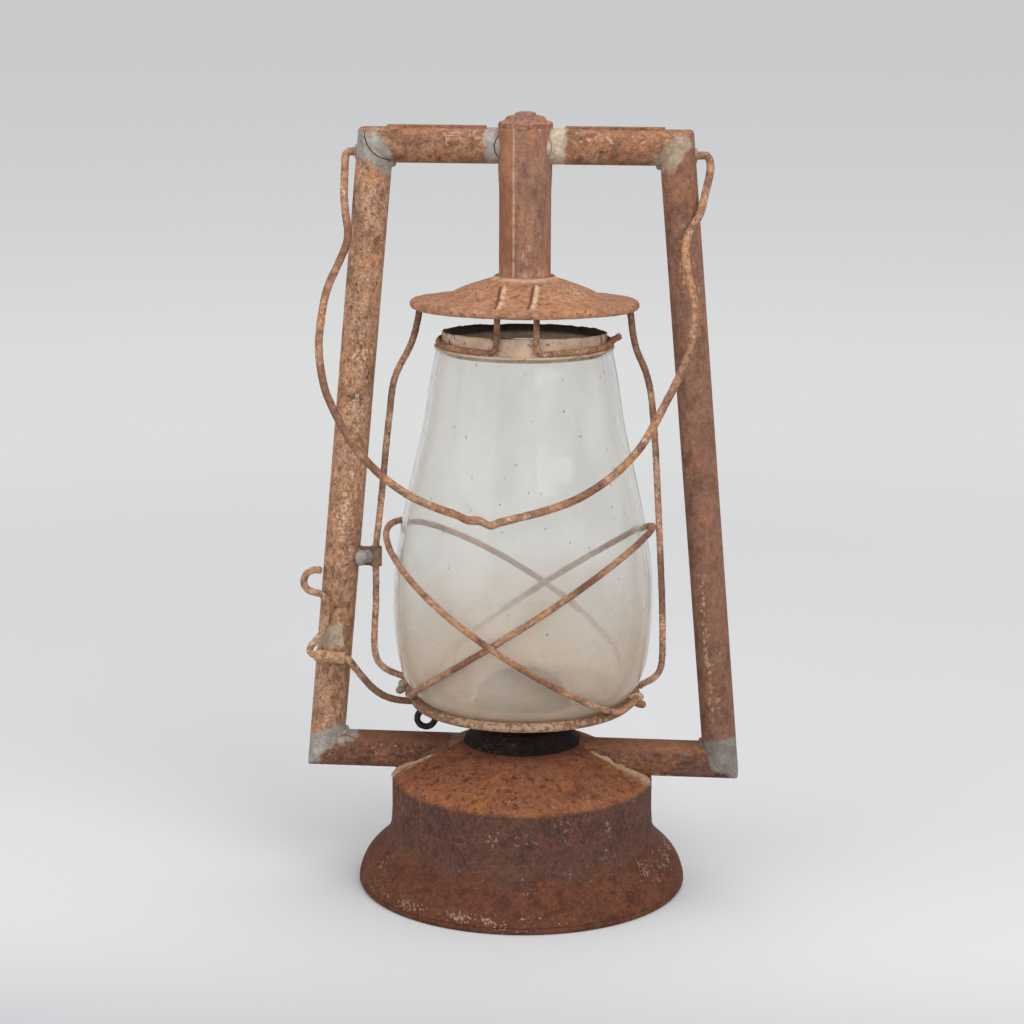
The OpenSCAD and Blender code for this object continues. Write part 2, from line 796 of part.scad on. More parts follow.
// Lift lever: thumb loop and riser, pivot through the strap, and the arm under the plate
lever_pin = [-6.6, 6.6];
function pin_at(x) = [x * cos(lean) - side_x(lever_z), lever_y, lever_z - x * sin(lean)];
thumb_route = [[-88.6, -6.4, 140.8], [-91.4, -8.4, 141.6], [-94.4, -9.8, 140.2], [-95.8, -10.9, 137],
    [-94.8, -11.6, 134.2], [-92.2, -11.9, 132.5], [-88.8, lever_y, 131.8], [-86.3, lever_y, 130],
    [-85.7, lever_y, 125.8], [-86.1, lever_y, 119], [-87.4, lever_y, 114.2], [-90.6, lever_y, 110.2],
    [-92.9, lever_y, 107.4], [-93.1, lever_y, 105.2], pin_at(lever_pin[0] - 1), pin_at(lever_pin[0] + 0.6)];
arm_route = [pin_at(lever_pin[1] - 0.6), pin_at(lever_pin[1] + 1), [-74.9, -11.2, 100.6], [-73.2, -9.4, 97.2],
    [-69.2, -6.4, 91], [-65.2, -3.8, 85.8], [-60.6, -1.4, 82.4], [-56, 0.4, 80.6], [-51.5, 1.4, 80.1],
    [-48.5, 1.8, 80.1], [-45.6, 2, 80.1]];
// Bent wire is a little thinner than its pins, so that it stays inside their ends
bent = 0.985;
module lift_lever() {
    color(wire_rust) {
        wire(smooth(thumb_route, 2), lever_d * bent, [0.05, 1, 0.3]);
        on_lever_axis()
            bar_x(lever_pin[0], lever_pin[1], lever_d / 2);
        wire(smooth(arm_route, 2), lever_d * bent, [0.3, 1, 0.1]);
    }
}

// Bail: route of the wire in its own plane, as [x, distance from the axis]
bail_route = [[-73.4, 0], [-75.2, 0], [-76.7, 0.9], [-77.2, 3.4], [-77, 11], [-76.8, 21.4], [-75, 31.5],
    [-74.2, 38.6], [-77, 47.6], [-80.7, 56.4], [-83, 65], [-84.3, 78], [-84.2, 88], [-82, 99.7],
    [-78.8, 108.8], [-69.6, 125], [-62.4, 133.4], [-53.6, 141.6], [-40.8, 149.8], [-27, 155], [-17, 158.2],
    [-10, 160.9], [-5.5, 159.6], [2.5, 157.2], [14, 153.8], [27.8, 148.2], [40.2, 139.6], [48.8, 131],
    [55.4, 122], [63.4, 105.4], [70, 91], [73.4, 77], [73.8, 67], [72.2, 57.6], [69.6, 48], [68.9, 38.6],
    [71.4, 31.4], [74.9, 25.4], [76.9, 15], [78.6, 7], [78.2, 2], [76.6, 0], [75.2, 0], [73.4, 0]];
module bail() {
    path = smooth([for (p = bail_route) [p[0], -p[1] * sin(bail_tilt), bail_z - p[1] * cos(bail_tilt)]], 2);
    color(wire_rust) {
        wire(path, bail_d * bent, [0, cos(bail_tilt), -sin(bail_tilt)]);
        for (side = [0, 1])
            mirror([side, 0, 0])
                translate([0, 0, bail_z])
                    bar_x(pin_reach[0], pin_reach[1], bail_d / 2);
    }
}

base_skirt();
fount_drum();
fount_dome();
fount_bottom();
filler_neck();
air_chamber();
burner_body();
wick_tube();
burner_cone();
left_lower_tube();
right_lower_tube();
left_side_tube();
right_side_tube();
left_top_tube();
right_top_tube();
crown_tube();
crown_cap();
left_bail_eyelet();
right_bail_eyelet();
guide_clip();
lever_strap();
canopy();
canopy_sleeve();
globe_collar();
globe_spring_wire();
globe();
globe_plate();
plate_ring();
left_guard();
right_guard();
left_cross_wire();
right_cross_wire();
lift_lever();
bail();
winder_shaft();
winder_wheels();
wick();
filler_cap();
filler_gasket();
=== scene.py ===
"""Looks of a rusted side-lift kerosene lantern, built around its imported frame."""

import math
from collections import namedtuple

import bmesh
import bpy
from mathutils import Matrix, Vector, noise
from mathutils.bvhtree import BVHTree


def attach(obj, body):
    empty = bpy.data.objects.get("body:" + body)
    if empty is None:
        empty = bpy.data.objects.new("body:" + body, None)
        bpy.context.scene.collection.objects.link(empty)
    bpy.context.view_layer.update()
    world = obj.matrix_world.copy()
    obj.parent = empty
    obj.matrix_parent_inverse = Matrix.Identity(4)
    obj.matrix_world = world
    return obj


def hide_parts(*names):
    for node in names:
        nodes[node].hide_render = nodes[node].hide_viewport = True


MM = 0.001
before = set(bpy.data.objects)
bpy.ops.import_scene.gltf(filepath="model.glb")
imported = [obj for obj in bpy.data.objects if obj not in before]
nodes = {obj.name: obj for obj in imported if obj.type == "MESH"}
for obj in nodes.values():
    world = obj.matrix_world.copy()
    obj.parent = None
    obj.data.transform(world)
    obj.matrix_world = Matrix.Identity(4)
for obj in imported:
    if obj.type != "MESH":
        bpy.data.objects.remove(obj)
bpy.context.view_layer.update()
scene = bpy.context.scene
scene.view_settings.view_transform = "Standard"

# Sizes of the CAD model, in millimetres
TOP_Z = 327
LOW_Z = 58
TOP_HALF = 64.3
LOW_HALF = 88.2
TUBE_W = 15
TUBE_D = 19
HALF_FLAT = (TUBE_D - TUBE_W) / 2
LEAN = math.atan2(LOW_HALF - TOP_HALF, TOP_Z - LOW_Z)
CANOPY_Z = 258
MOUTH_Z = 241


# Colours

def srgb(red, green, blue):
    """Linear colour of an 8-bit screen colour."""
    shares = [value / 255 for value in (red, green, blue)]
    linear = [s / 12.92 if s <= 0.04045 else ((s + 0.055) / 1.055) ** 2.4 for s in shares]
    return (*linear, 1)


Tones = namedtuple("Tones", "body warm cool deep pale")


def rust_tones(*screen_colours):
    """Body, warm, cool, deep and pale colour of one rust."""
    return Tones(*(srgb(*colour) for colour in screen_colours))


LEFT_TUBE = rust_tones((178, 138, 111), (182, 135, 102), (146, 108, 85), (104, 70, 52), (216, 188, 162))
RIGHT_TUBE = rust_tones((140, 103, 85), (147, 104, 81), (122, 88, 73), (90, 62, 50), (202, 168, 140))
TOP_TUBE = rust_tones((152, 111, 87), (160, 112, 82), (124, 89, 69), (96, 65, 49), (206, 172, 144))
LOW_TUBE = rust_tones((112, 79, 65), (128, 86, 64), (94, 66, 56), (72, 49, 43), (180, 148, 124))
CROWN = rust_tones((155, 115, 94), (162, 112, 84), (138, 103, 87), (106, 72, 56), (208, 176, 150))
CANOPY = rust_tones((180, 132, 102), (184, 131, 94), (156, 111, 83), (116, 76, 57), (224, 190, 160))
DOME = rust_tones((138, 88, 64), (147, 93, 60), (120, 74, 55), (82, 48, 36), (190, 150, 112))
DRUM = rust_tones((92, 63, 54), (98, 64, 52), (80, 56, 49), (60, 42, 38), (158, 132, 116))
SKIRT = rust_tones((97, 58, 43), (108, 64, 44), (82, 49, 38), (58, 37, 31), (170, 140, 118))
# The air chamber is dark from soot and from painted shade under the globe plate
CHAMBER = rust_tones((34, 26, 24), (54, 37, 30), (28, 22, 21), (18, 15, 14), (92, 72, 60))
LEVER = rust_tones((174, 138, 112), (182, 138, 104), (142, 106, 86), (98, 66, 52), (226, 204, 180))
WIRE = rust_tones((158, 112, 82), (170, 115, 76), (124, 86, 66), (90, 58, 44), (216, 188, 160))
BAIL = rust_tones((168, 128, 100), (180, 132, 96), (134, 100, 82), (94, 64, 52), (224, 200, 176))
GUARD = rust_tones((186, 148, 122), (190, 144, 110), (152, 116, 97), (102, 72, 58), (232, 212, 190))
DARK_WIRE = srgb(112, 76, 64)
SOLDER = srgb(156, 149, 140)
DULL_SOLDER = srgb(126, 119, 111)
TAN_SOLDER = srgb(166, 146, 125)
CREAM_SOLDER = srgb(190, 173, 151)
BROWN_SOLDER = srgb(140, 112, 93)
FILLET = srgb(176, 145, 117)
SEAM = srgb(66, 54, 48)
RUST_LINE = srgb(140, 102, 78)
PALE_TIN = srgb(206, 180, 154)
SOOT = srgb(27, 21, 20)
BRASS = srgb(112, 92, 62)
TARNISH = srgb(52, 42, 34)


# Materials

# How a pattern is drawn out: the smaller a number, the longer along that axis
EVEN = (1, 1, 1)
UPRIGHT = (1, 1, 0.7)
STREAKED = (1, 1, 0.5)
LEVEL = (0.7, 1, 1)

# Where most of a noise's values lie, how coarse it is, and the way that a seed moves it
NOISE_LOW = 0.35
NOISE_HIGH = 0.65
NOISE_ROUGHNESS = 0.6
SEED_WAY = (1, 0.37, 0.61)

# Colour sockets of a mix node
MIX_BELOW = 6
MIX_ABOVE = 7
MIX_RESULT = 2


class Paint:
    """One procedural material in the lantern's own coordinates, with sizes in millimetres."""

    def __init__(self, name, roughness=0.8, specular=0.18):
        self.material = bpy.data.materials.new(name)
        self.material.use_nodes = True
        self.tree = self.material.node_tree
        self.shader = self.tree.nodes["Principled BSDF"]
        self.put("Roughness", roughness)
        self.put("Specular IOR Level", specular)
        self.place = self.node("ShaderNodeTexCoord").outputs["Object"]
        self.x, self.y, self.z = self.node("ShaderNodeSeparateXYZ", {0: self.place}).outputs

    def node(self, kind, inputs=None, **settings):
        """A node with its settings, and with links or constants on its inputs."""
        made = self.tree.nodes.new(kind)
        for key, value in settings.items():
            setattr(made, key, value)
        for key, value in (inputs or {}).items():
            self.feed(made.inputs[key], value)
        return made

    def feed(self, socket, value):
        """Links a socket, or sets a constant on it."""
        if isinstance(value, bpy.types.NodeSocket):
            self.tree.links.new(value, socket)
        else:
            socket.default_value = value

    def put(self, key, value):
        """Feeds an input of the material's own shader."""
        self.feed(self.shader.inputs[key], value)

    def math(self, operation, first, second=0.0):
        return self.node("ShaderNodeMath", {0: first, 1: second}, operation=operation).outputs[0]

    def vector(self, operation, inputs):
        return self.node("ShaderNodeVectorMath", inputs, operation=operation).outputs

    def times(self, first, second):
        return self.math("MULTIPLY", first, second)

    def plus(self, first, second):
        return self.math("ADD", first, second)

    def minus(self, first, second):
        return self.math("SUBTRACT", first, second)

    def absolute(self, value):
        return self.math("ABSOLUTE", value)

    def moved(self, streak, seed):
        """The place, drawn out along an axis and moved to another part of the pattern."""
        inputs = {0: self.place, 1: streak, 2: [seed * share for share in SEED_WAY]}
        return self.vector("MULTIPLY_ADD", inputs)[0]

    def noise(self, size, detail, seed, streak=EVEN):
        inputs = {"Vector": self.moved(streak, seed), "Scale": 1 / (size * MM), "Detail": detail,
                  "Roughness": NOISE_ROUGHNESS}
        return self.node("ShaderNodeTexNoise", inputs).outputs["Fac"]

    def cells(self, size, seed, streak):
        """Distance to the nearest of scattered points, as a share of their spacing."""
        inputs = {"Vector": self.moved(streak, seed), "Scale": 1 / (size * MM)}
        return self.node("ShaderNodeTexVoronoi", inputs).outputs["Distance"]

    def step(self, value, low, high, top=1.0):
        """Smooth rise from 0 at low to top at high; high may be the smaller one."""
        inputs = {"Value": value, "From Min": low, "From Max": high, "To Max": top}
        return self.node("ShaderNodeMapRange", inputs, interpolation_type="SMOOTHSTEP").outputs["Result"]

    def rise(self, value, span, top=1.0):
        """A step over a span in millimetres."""
        low, high = span
        return self.step(value, low * MM, high * MM, top)

    def blend(self, share, below, above):
        inputs = {0: share, MIX_BELOW: below, MIX_ABOVE: above}
        return self.node("ShaderNodeMix", inputs, data_type="RGBA").outputs[MIX_RESULT]

    def shade(self, colour, value, low, high):
        """Colour times a brightness between low and high, which a noise's usual values share out."""
        inputs = {"Value": value, "From Min": NOISE_LOW, "From Max": NOISE_HIGH,
                  "To Min": low, "To Max": high}
        bright = self.node("ShaderNodeMapRange", inputs).outputs["Result"]
        plain = colour[:3] if isinstance(colour, tuple) else colour
        return self.vector("SCALE", {0: plain, "Scale": bright})[0]

    def flat_distance(self, axes, centre):
        """Distance from a centre, measured along the axes that are 1."""
        flat = self.vector("MULTIPLY", {0: self.place, 1: axes})[0]
        return self.vector("DISTANCE", {0: flat, 1: centre})["Value"]

    def off_axis(self, x, z):
        """Distance from a line along Y, at x and z in millimetres."""
        return self.flat_distance((1, 0, 1), (x * MM, 0, z * MM))

    def radius(self):
        """Distance from the lantern's own axis."""
        return self.flat_distance((1, 1, 0), (0, 0, 0))

    def across_side(self, side):
        """Distance to the right of a side tube's centre line, seen from the front; side is -1 or 1."""
        drop = self.times(self.minus(TOP_Z * MM, self.z), side * math.tan(LEAN))
        return self.minus(self.minus(self.x, side * TOP_HALF * MM), drop)

    def near(self, value, centre, half):
        """One at a centre in millimetres, and zero from half a lane away."""
        off = self.absolute(self.minus(value, centre * MM))
        return self.rise(off, (half, 0))

    def bump(self, height, depth):
        made = self.node("ShaderNodeBump", {"Distance": depth * MM, "Height": height})
        self.put("Normal", made.outputs[0])

    def finish(self, colour):
        self.put("Base Color", colour)
        return self.material

    def show_instead(self, share, other):
        """Shows another shader in place of the material's own, by a share."""
        inputs = {0: share, 1: self.shader.outputs[0], 2: other.outputs[0]}
        mixed = self.node("ShaderNodeMixShader", inputs)
        self.feed(self.tree.nodes["Material Output"].inputs["Surface"], mixed.outputs[0])


def rust_colour(paint, tone, size, streak, chalk, pits, grit, seed, crust=None):
    """Mottled rust: broad fields, gritty mottling, pits and drifts of chalky specks; grit is its contrast."""
    broad = paint.noise(7 * size, 3, seed, streak)
    patches = paint.noise(2.8 * size, 4, seed + 1, streak)
    mottle = paint.noise(0.9 * size, 3, seed + 2, streak)
    grain = paint.noise(1.1, 2, seed + 3)
    colour = paint.blend(paint.step(broad, 0.42, 0.62), tone.body, tone.warm)
    colour = paint.blend(paint.step(patches, 0.48, 0.66), colour, tone.cool)
    colour = paint.shade(colour, mottle, 1 - 0.20 * grit, 1 + 0.20 * grit)
    hole = paint.noise(1.7, 3, seed + 4, streak)
    pit = paint.step(hole, 0.70 - 0.14 * pits, 0.78 - 0.14 * pits, 0.8)
    colour = paint.blend(pit, colour, tone.deep)
    drift = paint.noise(4.5 * size, 3, seed + 5, streak)
    specks = paint.plus(paint.noise(1.3, 3, seed + 6, streak), paint.times(drift, 0.6))
    if crust:
        specks = paint.plus(specks, crust)
    chalky = paint.step(specks, 1.00 - 0.16 * chalk, 1.14 - 0.16 * chalk, 0.8)
    colour = paint.blend(chalky, colour, tone.pale)
    colour = paint.shade(colour, grain, 1 - 0.17 * grit, 1 + 0.17 * grit)
    rough = paint.plus(mottle, paint.times(grain, 0.7))
    height = paint.minus(paint.plus(rough, paint.times(chalky, 0.4)), pit)
    return colour, height


def solder_colour(paint, tin, freckle, seed):
    """Dull solder with cloudy patches and freckles of rust."""
    colour = paint.shade(tin, paint.noise(6, 4, seed), 0.78, 1.2)
    colour = paint.shade(colour, paint.noise(1.3, 3, seed + 1), 0.82, 1.18)
    spots = paint.step(paint.noise(2.4, 5, seed + 2), 0.56, 0.70, 0.7)
    return paint.blend(spots, colour, freckle)


# Edge of solder: how far it wanders, and how far past a spot's radius it starts and is whole, in millimetres
SOLDER_WANDER = 7
SOLDER_START = 4.6
SOLDER_WHOLE = 2.6

# Half width of a seam's line, from its edge to its full colour, and how far the edge of the painted light on
# a tube's top wanders
SEAM_HALF = (0.42, 0.12)
TOP_LIGHT_WANDER = 4

# Roughness of rust, and by how much solder is smoother and flatter
RUST_ROUGHNESS = 0.82
SOLDER_SMOOTHER = 0.3
SOLDER_FLATTER = 0.7


def rust(name, tone, size, streak, chalk, pits, grit, seed, solder=(), seams=(), line=SEAM, lanes=(),
         painted_top_light=None, fade=None, dark=None, depth=0.3):
    """Rusted sheet. Solder is (tin, spots), with spots and seam arcs as (x, z, radius) seen from the front.
    Lanes are chalky bands along a side tube as (side, centre, half width, low, high, strength). Painted top
    light, a lighter colour painted on a lower tube's top facet where light from above falls, is (colour, low,
    high), and fade (low, high, share at low) darkens the rust towards the bottom by height. Dark is the
    colour of long stretches."""
    paint = Paint(name)
    crust = None
    for side, centre, half, low, high, strength in lanes:
        lane = paint.times(paint.near(paint.across_side(side), centre, half), strength)
        lane = paint.times(lane, paint.near(paint.z, (low + high) / 2, (high - low) / 2))
        crust = paint.plus(crust, lane) if crust else lane
    colour, height = rust_colour(paint, tone, size, streak, chalk, pits, grit, seed, crust)
    # Painted light: the top facet of a lower tube gets a lighter colour, where light from above falls on it
    if painted_top_light:
        tint, low, high = painted_top_light
        ragged = paint.plus(paint.z, paint.times(paint.noise(5, 4, seed + 8, streak), TOP_LIGHT_WANDER * MM))
        middle = TOP_LIGHT_WANDER / 2
        share = paint.rise(ragged, (low + middle, high + middle), 0.75)
        tint = paint.shade(tint, paint.noise(2, 4, seed + 9, streak), 0.72, 1.28)
        colour = paint.blend(share, colour, tint)
    if fade:
        low, high, least = fade
        level = paint.rise(paint.z, (low, high), NOISE_HIGH - NOISE_LOW)
        colour = paint.shade(colour, paint.plus(level, NOISE_LOW), least, 1.0)
    if dark:
        stretch = paint.step(paint.noise(34, 2, seed + 12), 0.50, 0.62, 0.7)
        dark = paint.shade(dark, paint.noise(2, 4, seed + 13), 0.6, 1.4)
        colour = paint.blend(stretch, colour, dark)
    roughness = RUST_ROUGHNESS
    wander = paint.times(paint.noise(6, 5, seed + 10), SOLDER_WANDER * MM)
    for tin, spots in solder:
        cover = 0.0
        for x, z, radius in spots:
            edge = paint.plus(paint.off_axis(x, z), wander)
            spot = paint.rise(edge, (radius + SOLDER_START, radius + SOLDER_WHOLE))
            cover = paint.math("MAXIMUM", cover, spot)
        dull = solder_colour(paint, tin, tone.body, seed + 11)
        for x, z, radius in seams:
            off = paint.absolute(paint.minus(paint.off_axis(x, z), radius * MM))
            dull = paint.blend(paint.rise(off, SEAM_HALF), dull, line)
        colour = paint.blend(cover, colour, dull)
        roughness = paint.minus(roughness, paint.times(cover, SOLDER_SMOOTHER))
        height = paint.times(height, paint.minus(1.0, paint.times(cover, SOLDER_FLATTER)))
    paint.put("Roughness", roughness)
    paint.bump(height, depth)
    return paint.finish(colour)


# Crown tube: where it turns brown, its seam's place and half width, its front and its pale foot
BROWN_X = (-4.2, -5.4)
SEAM_X = -3.9
SEAM_EDGE = 0.8
FRONT_Y = (-7, -8)
PALE_FOOT_Z = (279, 272)


def crown_rust(name, seed):
    """Rust in upright streaks, browner left of the pale edge of its lapped seam."""
    paint = Paint(name)
    streak = (1, 1, 0.35)
    colour, height = rust_colour(paint, CROWN, 2.6, streak, 0.25, 0.2, 1.0, seed)
    left = paint.rise(paint.x, BROWN_X, 0.6)
    brown = paint.shade(srgb(156, 104, 74), paint.noise(2.5, 4, seed + 8, STREAKED), 0.7, 1.3)
    colour = paint.blend(left, colour, brown)
    front = paint.rise(paint.y, FRONT_Y)
    edge = paint.times(paint.near(paint.x, SEAM_X, SEAM_EDGE), front)
    edge = paint.times(edge, paint.step(paint.noise(3, 4, seed + 9), 0.28, 0.60, 0.8))
    colour = paint.blend(edge, colour, CROWN.pale)
    foot = paint.rise(paint.z, PALE_FOOT_Z, 0.7)
    foot = paint.times(foot, paint.step(paint.noise(4, 5, seed + 10, STREAKED), 0.44, 0.62))
    colour = paint.blend(foot, colour, CROWN.pale)
    paint.bump(height, 0.25)
    return paint.finish(colour)


def ragged_height(paint, size, reach, seed):
    """Height that wanders by half a reach in millimetres either way."""
    wander = paint.minus(paint.noise(size, 4, seed), 0.5)
    return paint.plus(paint.z, paint.times(wander, 3 * reach * MM))


# Foot: height and half height of its crust at the rim and at the right, and where red turns to brown
RIM_CRUST = (6, 5)
RIGHT_CRUST = (16, 9)
BROWN_Z = (15, 26)


def skirt_rust(name, seed):
    """Dark rust of the foot, redder below its bend, with a chalky crust near the rim and at the right."""
    paint = Paint(name)
    rim = paint.near(paint.z, *RIM_CRUST)
    turn = paint.math("ARCTAN2", paint.x, paint.times(paint.y, -1.0))
    side = paint.absolute(paint.plus(turn, 0.5))
    crust = paint.times(paint.times(rim, paint.step(side, 1.0, 0.2)), 0.17)
    right = paint.times(paint.step(turn, 0.2, 0.9), paint.near(paint.z, *RIGHT_CRUST))
    crust = paint.plus(crust, paint.times(right, 0.09))
    red, height = rust_colour(paint, SKIRT, 2.6, EVEN, 0.2, 0.3, 1.05, seed, crust)
    brown, _ = rust_colour(paint, DRUM, 2.4, EVEN, 0.3, 0.3, 1.05, seed + 20)
    upper = paint.rise(ragged_height(paint, 12, 9, seed + 30), BROWN_Z)
    paint.bump(height, 0.4)
    return paint.finish(paint.blend(upper, red, brown))


# Dome: radii of the painted highlight along its edge and of the painted shadow at its top, places of the
# crust beside the tubes, and height of its edge
SHOULDER_HIGHLIGHT_R = (51, 56)
PLATE_SHADOW_R = (34, 25)
CRUST_Y = (9, 5.5)
CRUST_X = (33, 42)
EDGE_Z = (46.8, 49.2)


def dome_rust(name, seed):
    """Orange-brown pitted rust: a painted highlight in yellow along its rounded edge, painted shadow of the
    globe plate at its top, crusted beside the lower tubes, and dark like the drum below its edge."""
    paint = Paint(name)
    colour, height = rust_colour(paint, DOME, 2.6, EVEN, 0.15, 0.55, 0.9, seed)
    pocks = paint.step(paint.noise(3.4, 3, seed + 11), 0.60, 0.67, 0.7)
    colour = paint.blend(pocks, colour, DOME.deep)
    height = paint.minus(height, pocks)
    # Painted highlight: a yellow band, flecked paler, along the rounded shoulder where light falls on it
    edge = paint.rise(paint.radius(), SHOULDER_HIGHLIGHT_R)
    edge = paint.times(edge, paint.step(paint.noise(7, 5, seed + 8), 0.46, 0.62, 0.7))
    colour = paint.blend(edge, colour, srgb(160, 104, 60))
    fleck = paint.times(edge, paint.step(paint.noise(2.2, 4, seed + 9), 0.56, 0.66))
    colour = paint.blend(fleck, colour, srgb(196, 138, 74))
    # Painted shadow: the dome darkens towards its top, under the globe plate
    dark_top = paint.rise(paint.radius(), PLATE_SHADOW_R, 0.55)
    colour = paint.blend(dark_top, colour, srgb(74, 46, 36))
    along = paint.near(paint.absolute(paint.y), *CRUST_Y)
    along = paint.times(along, paint.rise(paint.absolute(paint.x), CRUST_X))
    along = paint.times(along, paint.step(paint.noise(2.6, 5, seed + 12), 0.40, 0.56, 0.9))
    crust = paint.shade(FILLET, paint.noise(1.4, 4, seed + 13), 0.6, 1.3)
    colour = paint.blend(along, colour, crust)
    brown, _ = rust_colour(paint, DRUM, 2.2, UPRIGHT, 0.35, 0.2, 1.1, seed + 20)
    upper = paint.rise(ragged_height(paint, 6, 0.9, seed + 30), EDGE_Z)
    paint.bump(height, 0.45)
    return paint.finish(paint.blend(upper, brown, colour))


def worn_tin(name, base, seed, rust_share, size=4.5, soot_inside=None):
    """Cream, oxidised tin plate with rust from a noise level up, most at its left and right; sooty inside a
    (radius, height) in millimetres."""
    paint = Paint(name, roughness=0.6)
    colour = paint.shade(base, paint.noise(9, 4, seed), 0.80, 1.14)
    ends = paint.rise(paint.absolute(paint.x), (18, 38), 0.12)
    rusty = paint.plus(paint.noise(size, 5, seed + 1), ends)
    colour = paint.blend(paint.step(rusty, rust_share, rust_share + 0.14, 0.9), colour, WIRE.cool)
    colour = paint.blend(paint.step(paint.noise(1.5, 4, seed + 2), 0.60, 0.72, 0.8), colour, WIRE.deep)
    if soot_inside:
        radius, level = soot_inside
        dark_top = paint.shade(srgb(52, 41, 35), paint.noise(4, 4, seed + 3), 0.5, 1.5)
        low = paint.shade(srgb(150, 134, 116), paint.noise(3, 4, seed + 4), 0.8, 1.2)
        inside = paint.blend(paint.rise(paint.z, (level - 1, level + 1)), low, dark_top)
        colour = paint.blend(paint.rise(paint.radius(), (radius + 0.2, radius)), colour, inside)
    paint.bump(paint.noise(1.6, 4, seed + 2), 0.2)
    return paint.finish(colour)


def dull_metal(name, colour, roughness, seed, metallic=0.0, spots=None):
    """Plain dark or tinned metal with blotches of another colour."""
    paint = Paint(name, roughness=roughness)
    paint.put("Metallic", metallic)
    shown = paint.shade(colour, paint.noise(4, 5, seed), 0.7, 1.25)
    if spots:
        shown = paint.blend(paint.step(paint.noise(2.4, 5, seed + 1), 0.54, 0.66), shown, spots)
    paint.bump(paint.noise(1.2, 4, seed + 2), 0.15)
    return paint.finish(shown)


def crusted_solder(name, tin, seed):
    """Lumpy solder under a thin crust of rust."""
    paint = Paint(name, roughness=0.6)
    paint.bump(paint.noise(1.4, 4, seed + 4), 0.6)
    return paint.finish(solder_colour(paint, tin, WIRE.body, seed))


# Lever strap: heights at which its tunnel ends and its tip turns to rust
TUNNEL_TOP = (105.5, 107.5)
RUSTED_TIP = (116, 118.5)


def strap_tin(name, seed):
    """Pale tin plate whose rolled tunnel is worn to tan, and whose tip is rusted like the tube."""
    paint = Paint(name, roughness=0.65)
    tan = paint.shade(srgb(190, 150, 117), paint.noise(3, 4, seed), 0.72, 1.2)
    tan = paint.blend(paint.step(paint.noise(3.5, 5, seed + 6), 0.50, 0.64, 0.8), tan, WIRE.cool)
    upper = paint.rise(ragged_height(paint, 3, 2, seed + 1), TUNNEL_TOP)
    plate = solder_colour(paint, srgb(186, 168, 146), WIRE.cool, seed + 2)
    rusted, _ = rust_colour(paint, LEFT_TUBE, 2.4, UPRIGHT, 0.55, 0.6, 1.5, seed + 7)
    tip = paint.rise(ragged_height(paint, 3, 2, seed + 3), RUSTED_TIP)
    paint.bump(paint.noise(1.4, 4, seed + 5), 0.3)
    return paint.finish(paint.blend(upper, tan, paint.blend(tip, plate, rusted)))


# Refraction of the glass, kept low so that what lies behind it is little bent, and the colour of its shadow
GLASS_IOR = 1.22
GLASS_SHADOW = (0.88, 0.88, 0.87, 1)

# Heights over which the glass gets dusty, downwards, and the wick turns black
DUSTY_Z = (150, 92)
CHARRED_Z = (87, 90)


def dusty_glass(name):
    """Clear glass under a film of dust that thickens towards its foot, with scattered dark specks."""
    paint = Paint(name, roughness=0.05)
    low = paint.rise(ragged_height(paint, 24, 8, 0), DUSTY_Z)
    cloud = paint.noise(26, 5, 7, STREAKED)
    film = paint.plus(0.02, paint.times(low, 0.36))
    film = paint.plus(film, paint.step(cloud, 0.36, 0.66, 0.10))
    speck = paint.step(paint.cells(9, 3, (1, 1, 0.6)), 0.06, 0.035, 0.7)
    streak = paint.step(paint.noise(3, 4, 11, (1, 1, 0.4)), 0.66, 0.76, 0.12)
    dirt = paint.blend(low, srgb(244, 243, 240), srgb(212, 198, 180))
    dirt = paint.blend(speck, dirt, srgb(84, 70, 60))
    cover = paint.math("MAXIMUM", paint.plus(film, streak), speck)
    paint.put("Transmission Weight", paint.minus(1.0, cover))
    paint.put("IOR", GLASS_IOR)
    veil = paint.node("ShaderNodeBsdfTransparent", {"Color": GLASS_SHADOW})
    paint.show_instead(paint.node("ShaderNodeLightPath").outputs["Is Shadow Ray"], veil)
    return paint.finish(dirt)


def woven(name, colour, seed):
    """Cotton that is charred at its tip."""
    paint = Paint(name, roughness=0.95)
    weave = paint.noise(0.8, 2, seed)
    charred = paint.rise(paint.z, CHARRED_Z)
    paint.bump(weave, 0.3)
    return paint.finish(paint.blend(charred, paint.shade(colour, weave, 0.7, 1.1), SOOT))


# Solder on the frame's corners and crown, in millimetres seen from the front
TOP_LEFT = [(-66, 327, 6.5), (-61, 322.5, 5), (-58, 317.5, 3.5)]
TOP_RIGHT = [(66.5, 329, 3.5), (63.5, 325, 4), (59.5, 321.5, 4.5)]
LOW_LEFT = [(-93, 56, 3.5), (-91, 61, 4.5), (-86.5, 64.5, 4.5), (-81, 66, 4), (-77, 66, 3)]
LOW_RIGHT = [(91, 62, 8), (95, 56, 5), (84, 66, 3)]
TEE_LEFT = [(-9.5, 331, 7), (-9.5, 323, 7)]
TEE_RIGHT = [(10, 331, 8), (10, 323, 8)]
CHAMBER_LEFT = [(-28, 65, 4)]
DOME_RIGHT = [(60, 50.5, 2), (66, 50.5, 1.5), (71, 50.5, 0.5)]
TOP_LEFT_SEAM = [(-55.4, 333.2, 12.4)]
LOW_LEFT_SEAM = [(-79.5, 52.4, 12.6)]
TEE_LEFT_SEAM = [(-5.3, 327.3, 7.0)]
TEE_RIGHT_SEAM = [(4.6, 327.3, 7.2)]
LEFT_LANES = [(-1, 2.2, 5, 40, 360, 0.10)]
RIGHT_LANES = [(1, -2.2, 2.6, 40, 180, 0.17), (1, 2.5, 3, 40, 140, 0.10), (1, 0, 7, 240, 350, 0.13)]

